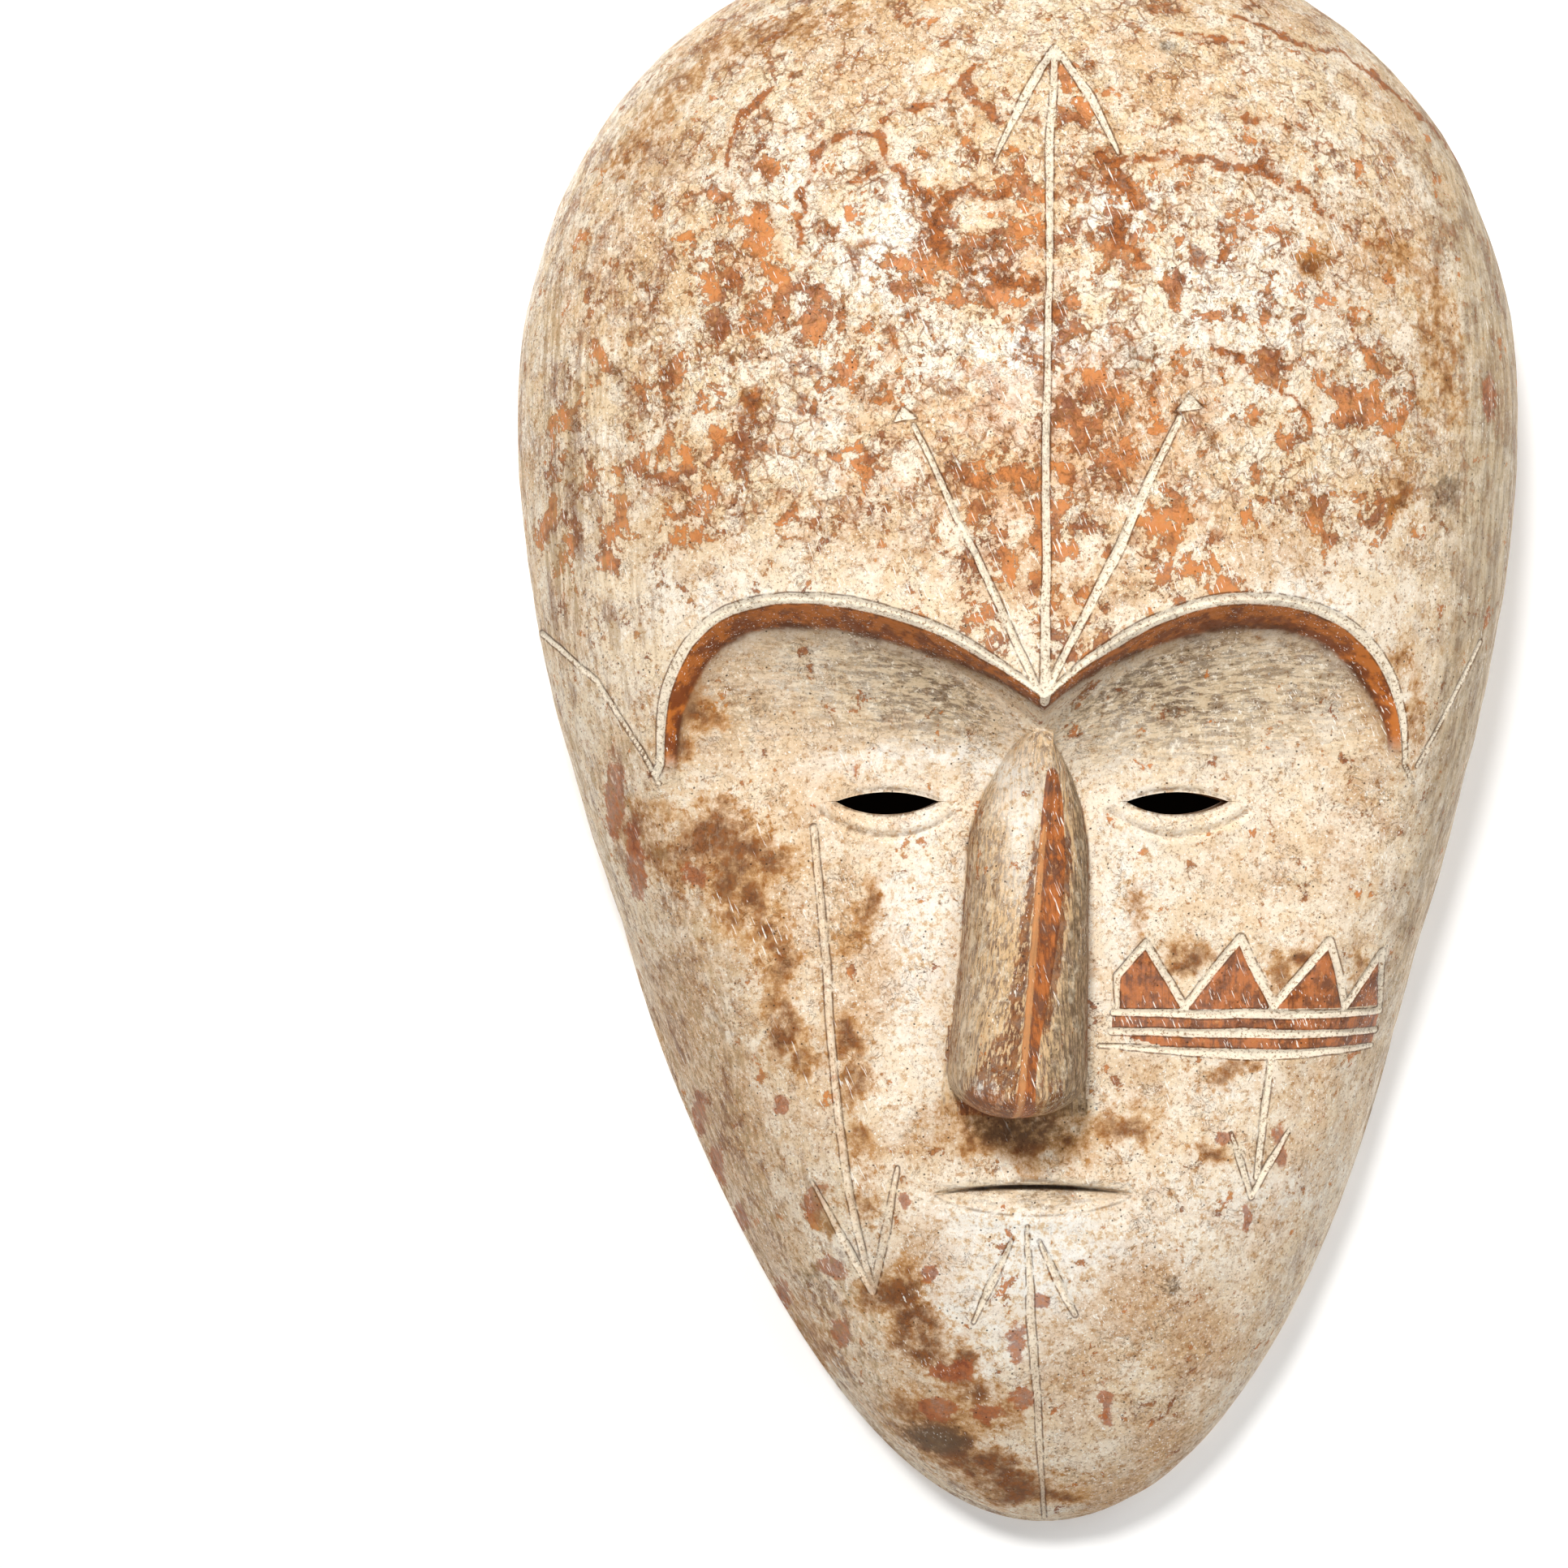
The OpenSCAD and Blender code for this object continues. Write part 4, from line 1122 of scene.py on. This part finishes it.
VEIN_PATHS = [  # (x, s, half-width)
    [(-18, 55.5, 0.7), (-19.5, 60.5, 1.5), (-14.5, 66.5, 1.4), (-9, 70.5, 1.6)],
    [(-19.5, 60.5, 1.0), (-29, 67.5, 0.8), (-38.5, 69, 1.1), (-44, 75.5, 1.4), (-53, 74.5, 1.3),
     (-60.5, 79, 1.6),
     (-61.5, 88.5, 1.0), (-65, 92, 1.4), (-64.5, 107.5, 0.5)],
    [(-44, 75.5, 1.4), (-43, 81.5, 1.3), (-51.5, 91, 0.9)],
    [(-73, 59, 1.4), (-81, 65.5, 0.8), (-85, 77, 0.9), (-87, 81, 0.9)],
    [(18, 84, 1.6), (29, 84, 1.3), (38.5, 81.5, 1.6), (48, 83.5, 2.0), (59.5, 83, 1.5), (69, 87, 1.2),
     (76.5, 90.5, 1.2), (86.5, 98.5, 0.8), (96.5, 104, 0.8)],
    [(60, 37.5, 0.8), (70, 41, 1.0), (79.5, 44.5, 1.2), (90, 46, 1.0), (100.5, 50.5, 0.8), (111, 58.5, 0.8),
     (122, 66.5, 0.7), (130, 74, 0.7)],
    [(42, 44.5, 1.3), (51.5, 46, 1.4), (61, 47.5, 0.9)],
    [(56, 67, 0.8), (67.5, 70.5, 1.1), (77.5, 73, 0.8)],
    [(-8, 93.5, 1.4), (-21.5, 92, 1.0), (-28.5, 98.5, 1.4)],
    [(-19.5, 114, 1.5), (-8, 118.5, 2.2), (3, 119, 1.8)],
    [(46.5, 129.5, 0.9), (51, 136, 1.2), (65, 144.5, 0.6), (79, 155.5, 0.6)],
    [(-43, 81.5, 1.2), (-36, 88, 1.4), (-31, 95, 1.8), (-26, 108, 1.8)],
    [(22, 88, 1.8), (27, 96, 1.6), (22, 106, 1.8), (30, 110, 1.4)],
]
CROWN_CLOUDS = [  # broad soft brown bands near the crown, as (x, s, half-width)
    [(-50, 36, 2.0), (-66, 40, 3.0), (-79.5, 44.5, 3.2), (-93, 47.5, 2.6), (-104.5, 60, 2.8),
     (-115, 77.5, 2.4)],
    [(96, 104, 1.5), (108, 108, 3.0), (116, 122, 3.5), (120, 150, 3.0)],
]
ZIGZAG_FIELDS = [
    [(26.5, 313), (35, 303.5), (46.5, 322.5), (26.5, 322.5)],
    [(46.5, 323), (62.5, 302), (72.5, 323)],
    [(72.5, 323), (89, 303), (94.5, 323)],
    [(94.5, 323), (106, 306.5), (107, 323)],
    [(25.5, 324), (107, 324.5), (106, 330), (25, 329)],
    [(25, 329.5), (106, 330.5), (105, 335.5), (45, 335)],
]
# Nose paint: how far the orange reaches right of the ridge, and the dark red-brown left of it, by s
NOSE_ORANGE = ([250, 262, 280, 300, 318, 330, 340, 353], [1.2, 4.8, 7.4, 6.8, 5.4, 4.0, 3.6, 5.0])
NOSE_DARK = ([256, 264, 274, 290, 308, 324, 332, 340, 353], [0.6, 2.4, 4.4, 6.4, 7.4, 8.0, 13.0, 18.0, 17.0])


FAR = 9.0  # the distance given where there is no line, in mm


def spots(x, s, places):
    """The strongest of the soft ellipses at each point."""
    best = np.zeros(x.shape)
    for px, ps, rx, rs, strength in places:
        q = ((x - px) / rx) ** 2 + ((s - ps) / rs) ** 2
        near = np.flatnonzero(q < 12)
        best[near] = np.maximum(best[near], strength * np.exp(-0.6 * q[near]))
    return best


def rise(v, start, length):
    """A smooth step from 0 at the start to 1 after the length, which is negative for a fall."""
    return smooth((v - start) / length)


def bell(v, width):
    return np.exp(-((v / width) ** 2))


def patch_maps(x, s, flat):
    """The listed patches, each kind with its own raggedness in millimetres."""
    ragged_x = noise3(flat, 8, 21) + 0.5 * noise3(flat, 3.5, 22)
    ragged_s = noise3(flat, 8, 23) + 0.5 * noise3(flat, 3.5, 24)
    return {name: spots(x + ragged * ragged_x, s + ragged * ragged_s, places)
            for name, places, ragged in (("rust", RUST, 4.5), ("wash", WASH, 3.5), ("stain", STAIN, 3.5),
                                         ("tan", TAN, 3.0), ("cream", CREAM, 3.0), ("red", REDDISH, 1.4),
                                         ("soot_and_shade", SOOT_AND_SHADE, 1.2))}


def vein_maps(x, s, flat):
    """The placed veins, and the soft brown bands near the crown."""
    bent_x = x + 1.8 * noise3(flat, 6, 31) + 1.0 * noise3(flat, 2.5, 33)
    bent_s = s + 1.8 * noise3(flat, 6, 32) + 1.0 * noise3(flat, 2.5, 34)
    veins, _ = stroke_gap(bent_x, bent_s, [curved(path) for path in VEIN_PATHS])
    clouds, _ = stroke_gap(bent_x, bent_s, [curved(path) for path in CROWN_CLOUDS])
    return bell(np.maximum(veins + 0.7, 0), 1.2), 0.48 * bell(np.maximum(clouds + 2, 0), 6.0)


def nose_maps(x, s):
    """Where the nose is, its orange and dark wood with painted shade along its steep sides, its pale crest,
    and painted shade on its two faces, deeper on the right.
    """
    on = (nose_across(x, s) < 1.02) & (s > NOSE_TOP_S) & (s < NOSE_END_S + 1)
    r = x - ridge_x(s)
    reach = np.interp(s, *NOSE_ORANGE)
    left = np.interp(s, *NOSE_DARK)
    ridge = rise(r, -1.6, 1.2) * smooth((reach - r) / 2.4 + 0.5) * rise(s, 250, 6)
    foot = 0.52 * rise(s, 334, 12) * rise(r, -18, 5) * rise(r, 8, -6)
    beside = mix(0.60, 0.80, rise(r, -6, 3)) * rise(r, -left, 4) * rise(r, -0.6, -1.2) * rise(s, 256, 12)
    right_foot = 0.48 * rise(s, 334, 8) * rise(r, 3, 3) * rise(r, 15, -4)
    edge = 0.8 * rise(r, reach - 1.5, 1.6) * rise(r, reach + 3.4, -2.2) * rise(s, 262, 14) * rise(s, 334, -10)
    # painted shade along the nose's steep sides
    flank = 0.55 * rise(nose_across(x, s), 0.84, 0.12) * rise(s, 346, -12) * rise(s, 256, 10)
    dark = np.maximum.reduce([beside, right_foot, edge, flank]) * (np.abs(r) > 0.9)
    crest = bell(r, 1.1) * rise(s, 262, 12)
    # painted shade on the nose's right face and, more lightly, its far left
    face = 0.66 * rise(r, reach + 1, 3) + 0.34 * rise(r, -9, -6)
    return [np.where(on, v, 0.0) for v in (np.ones_like(x), np.maximum(ridge, foot), dark, crest, face)]


def mouth_maps(x, s, flat):
    """The lip's lens, the shade above the mouth, the mouth's slit painted dark as shade, and the crease at
    the lip's lower end.
    """
    is_open, below = mouth_places(x, s)
    lens = is_open * rise(below, 0, 1.5) * smooth((8.5 * is_open**0.8 - below) / 2)
    above = is_open**0.5 * rise(below, -4, 2) * rise(below, 0.8, -0.8)
    half = 0.62 * is_open - 0.12 + 0.12 * noise3(flat, 3, 91)
    crack = np.where(is_open > 0.004, np.abs(below - 0.35) - half, FAR)
    crease = np.where(is_open > 0.02, np.abs(below - 8.2 * is_open**0.8) - 0.2, FAR)
    return lens, above, crack, crease


def eye_maps(x, s):
    """The creases of the lids and slits, as a distance in mm, and the brown rim below each slit."""
    lid, half = lid_places(x, s)
    crease = np.abs(np.maximum(lid, -half) + half) - 0.35
    brown = np.zeros(x.shape)
    for side in (-1, 1):
        a = 1 - ((x - EYE_MID_X - side * EYE_X) / (EYE_W / 2 + 1.5)) ** 2
        slit = np.abs(np.abs(s - EYE_S) - (EYE_H / 2 + 0.4) * a) - 0.35
        crease = np.minimum(crease, np.where(a > 0.02, slit, FAR))
        rim = s - EYE_S - EYE_H / 2 * a
        brown = np.maximum(brown, 0.62 * rise(rim, -1, 0.6) * smooth((1.9 * a - rim) / 0.8) * (a > 0.05))
    return crease, brown


def socket_maps(x, s, brow, flat):
    """Painted shade: the sockets' grey under the brows, and a darker shade beside the root of the nose,
    deeper on the right.
    """
    right = x > BROW_MID_X
    shade_under_brows = rise(brow, 5, 5) * rise(s, 264, -34) * rise(np.abs(x - 3), 110, -12)
    inner = bell(x - np.where(right, 30, -28), np.where(right, 38, 26)) * rise(brow, 5, 6)
    shade_under_brows = shade_under_brows * (0.55 + 0.45 * inner + 0.22 * noise3(flat, 22, 71))
    return shade_under_brows, np.where(right, 0.62, 0.46) * shade_under_brows * inner * np.exp(-np.maximum(brow - 8, 0) / 16)


def paint_maps(p):
    """The values that the painted wood's nodes read, from each vertex's place in mm."""
    x, s = p[:, 0], HOOK_S - p[:, 2]
    flat = np.stack([x, 0 * x, s], -1)
    across = np.abs(x - lean(s)) / np.maximum(head_w(s), 1)
    brow = brow_distance(x, s)
    maps = patch_maps(x, s, flat)
    uncovered = 1 - 0.8 * clamp01(maps["cream"])

    maps["line"] = line_gap(x, s)[0]
    worn_lines = 0.50 * rise(x, -28, -8) * rise(s, 262, 6) + 0.25 * rise(s, 380, 8) * rise(x, -28, 8)
    maps["chalk"] = 0.95 - worn_lines + 0.08 * noise3(flat, 9, 81)
    narrow = mix(0.42, 1, rise(np.abs(x - BROW_MID_X), 4, 42)) * mix(1, 0.62, rise(s, 222, 24))
    maps["brow"] = np.clip(brow / narrow, -5, 60)
    maps["arch"] = 1 - rise(s, np.where(x < 0, 246, 242), 10)

    maps["vein"] = clamp01(rise(s, 215, -70) * (1 - 0.6 * rise(across, 0.62, 0.2)) + 0.12)
    maps["path"], clouds = vein_maps(x, s, flat)
    maps["stain"] = np.maximum(maps["stain"], clouds)
    low_left = 0.35 * rise(s, 300, 80) * (x < -40)
    maps["streak"] = clamp01(rise(across, 0.60, 0.28) * np.where(x < 0, 0.8, 0.4) + low_left)
    # painted shade: the right side greyer, and darker again low down
    right_side_shade = rise(x, 94, 52) * 0.75 + smooth((x - lean(s) - 0.78 * head_w(s)) / 24) * 0.4 * (x > 0)
    maps["flank"] = clamp01(right_side_shade)

    on_nose, maps["orange"], maps["dark"], maps["crest"], nose_side_shade = nose_maps(x, s)
    maps["nose"] = on_nose * uncovered
    for corners in ZIGZAG_FIELDS:
        maps["orange"] = np.maximum(maps["orange"], smooth(-polygon_gap(x, s, corners) / 0.7 + 0.5))

    shade_under_brows, shade_beside_nose = socket_maps(x, s, brow, flat)
    lens, above_mouth, maps["crack"], lip_crease = mouth_maps(x, s, flat)
    eye_crease, eye_brown = eye_maps(x, s)
    # grey: painted shade under the brows and above the mouth, with the grey of the lip's lens
    maps["grey"] = clamp01(shade_under_brows + 0.8 * above_mouth + 0.85 * lens) * uncovered
    low_right_shade = 0.42 * right_side_shade * rise(s, 330, 60)
    # painted shade beside the nose, on its faces and low on the right, with the lip lens's grey and the brown
    # rims under the eye slits
    shade_and_dark_marks = [shade_beside_nose, 0.36 * lens, low_right_shade, nose_side_shade, eye_brown]
    maps["soot_and_shade"] = np.maximum.reduce([maps["soot_and_shade"], *shade_and_dark_marks])
    maps["crease"] = np.minimum(eye_crease, lip_crease)
    maps["pits"] = np.maximum(0.9 * lens, 0.25 * rise(s, 270, 60))
    return maps


# ---------------------------------------------------------------------------
# The mask
# ---------------------------------------------------------------------------

POCKET_D, POCKET_R, POCKET_TOP, POCKET_END = 6.5, 12.0, -5.0, -38.0
SCREW_TOP, SCREW_DROPS, PILOT_R, PILOT_L = -11.0, (9, 24), 1.5, 15.0
EYE_CUT, EYE_STEPS = (-130.0, -30.0), 60
SHARP_ANGLE = 42


def build_cutters():
    """What the boolean takes away: the hollow, both eye slits, the hanger's pocket and its pilot holes."""
    cutters = [build_hollow()]
    for side in (-1, 1):
        eye = lens_outline(EYE_MID_X + side * EYE_X, HOOK_S - EYE_S, EYE_W, EYE_H)
        cutters.append(prism_mesh(f"eye_{side}", eye, np.linspace(*EYE_CUT, EYE_STEPS)))
    cutters.append(prism_mesh("pocket", stadium_outline(POCKET_R, POCKET_TOP, POCKET_END), [-POCKET_D, 3]))
    for drop in SCREW_DROPS:
        hole = circle_outline(SCREW_TOP - drop, PILOT_R)
        cutters.append(prism_mesh(f"pilot_{drop}", hole, [-POCKET_D - PILOT_L, 1 - POCKET_D]))
    return cutters


def read_each(items, field, width, kind):
    """One field of every item in a mesh's list, as a numpy array."""
    values = np.empty(len(items) * width, kind)
    items.foreach_get(field, values)
    return values


def add_paint_maps(mesh):
    co = read_each(mesh.vertices, "co", 3, np.float32).reshape(-1, 3).astype(float) / MM
    for name, values in paint_maps(co).items():
        mesh.attributes.new(name, "FLOAT", "POINT").data.foreach_set("value", np.asarray(values, np.float32))


def leave_rim_bare(mesh, bare):
    """The sawn faces that lie on the wall keep the bare wood of the hollow."""
    faces = mesh.polygons
    facing_wall = read_each(faces, "normal", 3, np.float32)[1::3] > 0.95
    at_wall = read_each(faces, "center", 3, np.float32)[1::3] > -0.4 * MM
    slots = read_each(faces, "material_index", 1, np.int32)
    slots[facing_wall & at_wall] = mesh.materials.find(bare.name)
    faces.foreach_set("material_index", slots)


def build_mask():
    paint, bare = paint_material(), bare_material()
    head = build_head()
    head.materials.append(paint)
    cutters = build_cutters()
    for cutter in cutters:
        cutter.materials.append(bare)
    mesh = cut(head, cutters)
    mesh.name = "mask_carving"
    add_paint_maps(mesh)
    mesh.polygons.foreach_set("use_smooth", np.ones(len(mesh.polygons), bool))
    mesh.set_sharp_from_angle(angle=math.radians(SHARP_ANGLE))
    leave_rim_bare(mesh, bare)
    return new_object("mask_carving", mesh)


mask = build_mask()
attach(mask, "mask")
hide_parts("mask_shell")

steel = steel_material("hanger_steel", "B9B9B4", "8D8C86", 6)
screw_steel = steel_material("screw_steel", "A7A093", "7C7466", 3)
for node, material in (("hanger_strap", steel), ("hanger_ring", steel),
                       ("strap_screw_upper", screw_steel), ("strap_screw_lower", screw_steel)):
    shown_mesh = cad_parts[node].data
    shown_mesh.materials.clear()
    shown_mesh.materials.append(material)

# ---------------------------------------------------------------------------
# Stage, lights and camera, in metres
# ---------------------------------------------------------------------------


def one_sided(name, grey, rough, glow=0.0):
    """A stage material that shows only from the side its normal faces."""
    g = Graph(name)
    values = {"Base Color": (grey, grey, grey, 1), "Roughness": rough, "Specular IOR Level": 0.0,
              "Emission Color": (1, 1, 1, 1), "Emission Strength": glow}
    shown = g.fed("ShaderNodeBsdfPrincipled", values).outputs[0]
    clear = g.node("ShaderNodeBsdfTransparent").outputs[0]
    back = g.node("ShaderNodeNewGeometry").outputs["Backfacing"]
    return g.finish(g.fed("ShaderNodeMixShader", {0: back, 1: shown, 2: clear}).outputs[0])


def stage_plane(name, corners, material, *hidden_from):
    """A flat piece of the stage, which the kinds of ray in hidden_from don't see."""
    mesh = bpy.data.meshes.new(name)
    mesh.from_pydata(corners, [], [tuple(range(len(corners)))])
    mesh.materials.append(material)
    obj = new_object(name, mesh)
    for ray in hidden_from:
        setattr(obj, f"visible_{ray}", False)


def upright_corners(a, b, z_low, z_high):
    """The corners of an upright plane over the line on the floor from a to b."""
    return [(*a, z_low), (*b, z_low), (*b, z_high), (*a, z_high)]


WALL_Y, WALL_HALF_W, WALL_HALF_H = 0.0006, 2.5, 1.9
wall = upright_corners((-WALL_HALF_W, WALL_Y), (WALL_HALF_W, WALL_Y), -WALL_HALF_H, WALL_HALF_H)
stage_plane("stage_wall", wall, one_sided("stage_white", 0.95, 1.0, glow=0.12), "shadow")

# painted shade: a black patch on the wall inside the hollow, longer below than above, that keeps the eye
# slits dark
SHADE_R, SHADE_STRETCH, SHADE_SHIFT, SHADE_CORNERS = 0.118, 2.35, 0.008, 96
SHADE_Y, SHADE_Z = WALL_Y - 0.0004, HOOK_S * MM - 0.150
shade = []
for k in range(SHADE_CORNERS):
    a = 2 * math.pi * k / SHADE_CORNERS
    low = math.cos(a) < 0
    shade.append((SHADE_R * math.sin(a) + low * SHADE_SHIFT, SHADE_Y,
                  SHADE_Z + SHADE_R * math.cos(a) * (SHADE_STRETCH if low else 1)))
stage_plane("stage_shade", shade[::-1], one_sided("stage_black", 0.004, 1.0), "shadow", "diffuse")

FLOOR_Z, STAGE_HALF_W, STAGE_TOP = -0.62, 3.2, 2.6
FLOOR_CORNERS = [(x * STAGE_HALF_W, y * STAGE_HALF_W) for x, y in ((-1, -1), (1, -1), (1, 1), (-1, 1))]
stage_plane("stage_floor", [(*corner, FLOOR_Z) for corner in FLOOR_CORNERS],
            one_sided("stage_floor_white", 0.60, 0.6, glow=0.50), "diffuse")
front_left, front_right, back_right, back_left = FLOOR_CORNERS
for name, a, b in (("front", front_right, front_left), ("left", front_left, back_left),
                   ("right", back_right, front_right)):
    pale = one_sided(f"stage_{name}_pale", 0.8, 1.0, glow=0.62)
    stage_plane(f"stage_{name}", upright_corners(a, b, FLOOR_Z, STAGE_TOP), pale,
                "diffuse", "glossy", "transmission", "shadow")

MASK_MIDDLE = Vector((0.0, -0.05, -0.22))
LIGHTS = (  # name, place from the mask's middle, diameter, watts, colour
    ("key", (-0.24, -1.32, 0.54), 0.26, 15.5, (1.0, 0.99, 0.97)),
    ("fill", (0.50, -1.28, 0.45), 0.5, 3.6, (0.98, 0.99, 1.0)),
    ("low_fill", (0.10, -1.10, -0.75), 0.8, 6.4, (1.0, 0.99, 0.98)),
    ("top_back", (-0.6, 1.1, 0.7), 0.9, 12, (1, 1, 1)),
    ("low_back", (0.8, 1.0, 0.1), 0.9, 7, (1, 1, 1)),
)
for name, offset, size, watts, colour in LIGHTS:
    light = bpy.data.lights.new(name, "AREA")
    light.shape, light.size, light.energy, light.color = "DISK", size, watts, colour
    lamp = new_object(name, light)
    lamp.location = MASK_MIDDLE + Vector(offset)
    lamp.rotation_euler = (-Vector(offset)).to_track_quat("-Z", "Y").to_euler()

scene = bpy.context.scene
scene.world = bpy.data.worlds.new("studio")
scene.world.use_nodes = True
background = scene.world.node_tree.nodes["Background"]
background.inputs["Color"].default_value = (1.0, 1.0, 1.0, 1)
background.inputs["Strength"].default_value = 0.29
scene.view_settings.view_transform = "Standard"
scene.view_settings.look = "None"
scene.view_settings.exposure = 0.0
scene.view_settings.gamma = 1.0

CAMERA_X, CAMERA_Y, CAMERA_Z = -0.070, -1.120, HOOK_S * MM - 0.2574
camera = bpy.data.cameras.new("camera")
camera.lens, camera.sensor_width = 82.25, 36
camera.clip_start, camera.clip_end = 0.05, 20
scene.camera = new_object("camera", camera)
scene.camera.location = (CAMERA_X, CAMERA_Y, CAMERA_Z)
scene.camera.rotation_euler = (math.pi / 2, 0, 0)
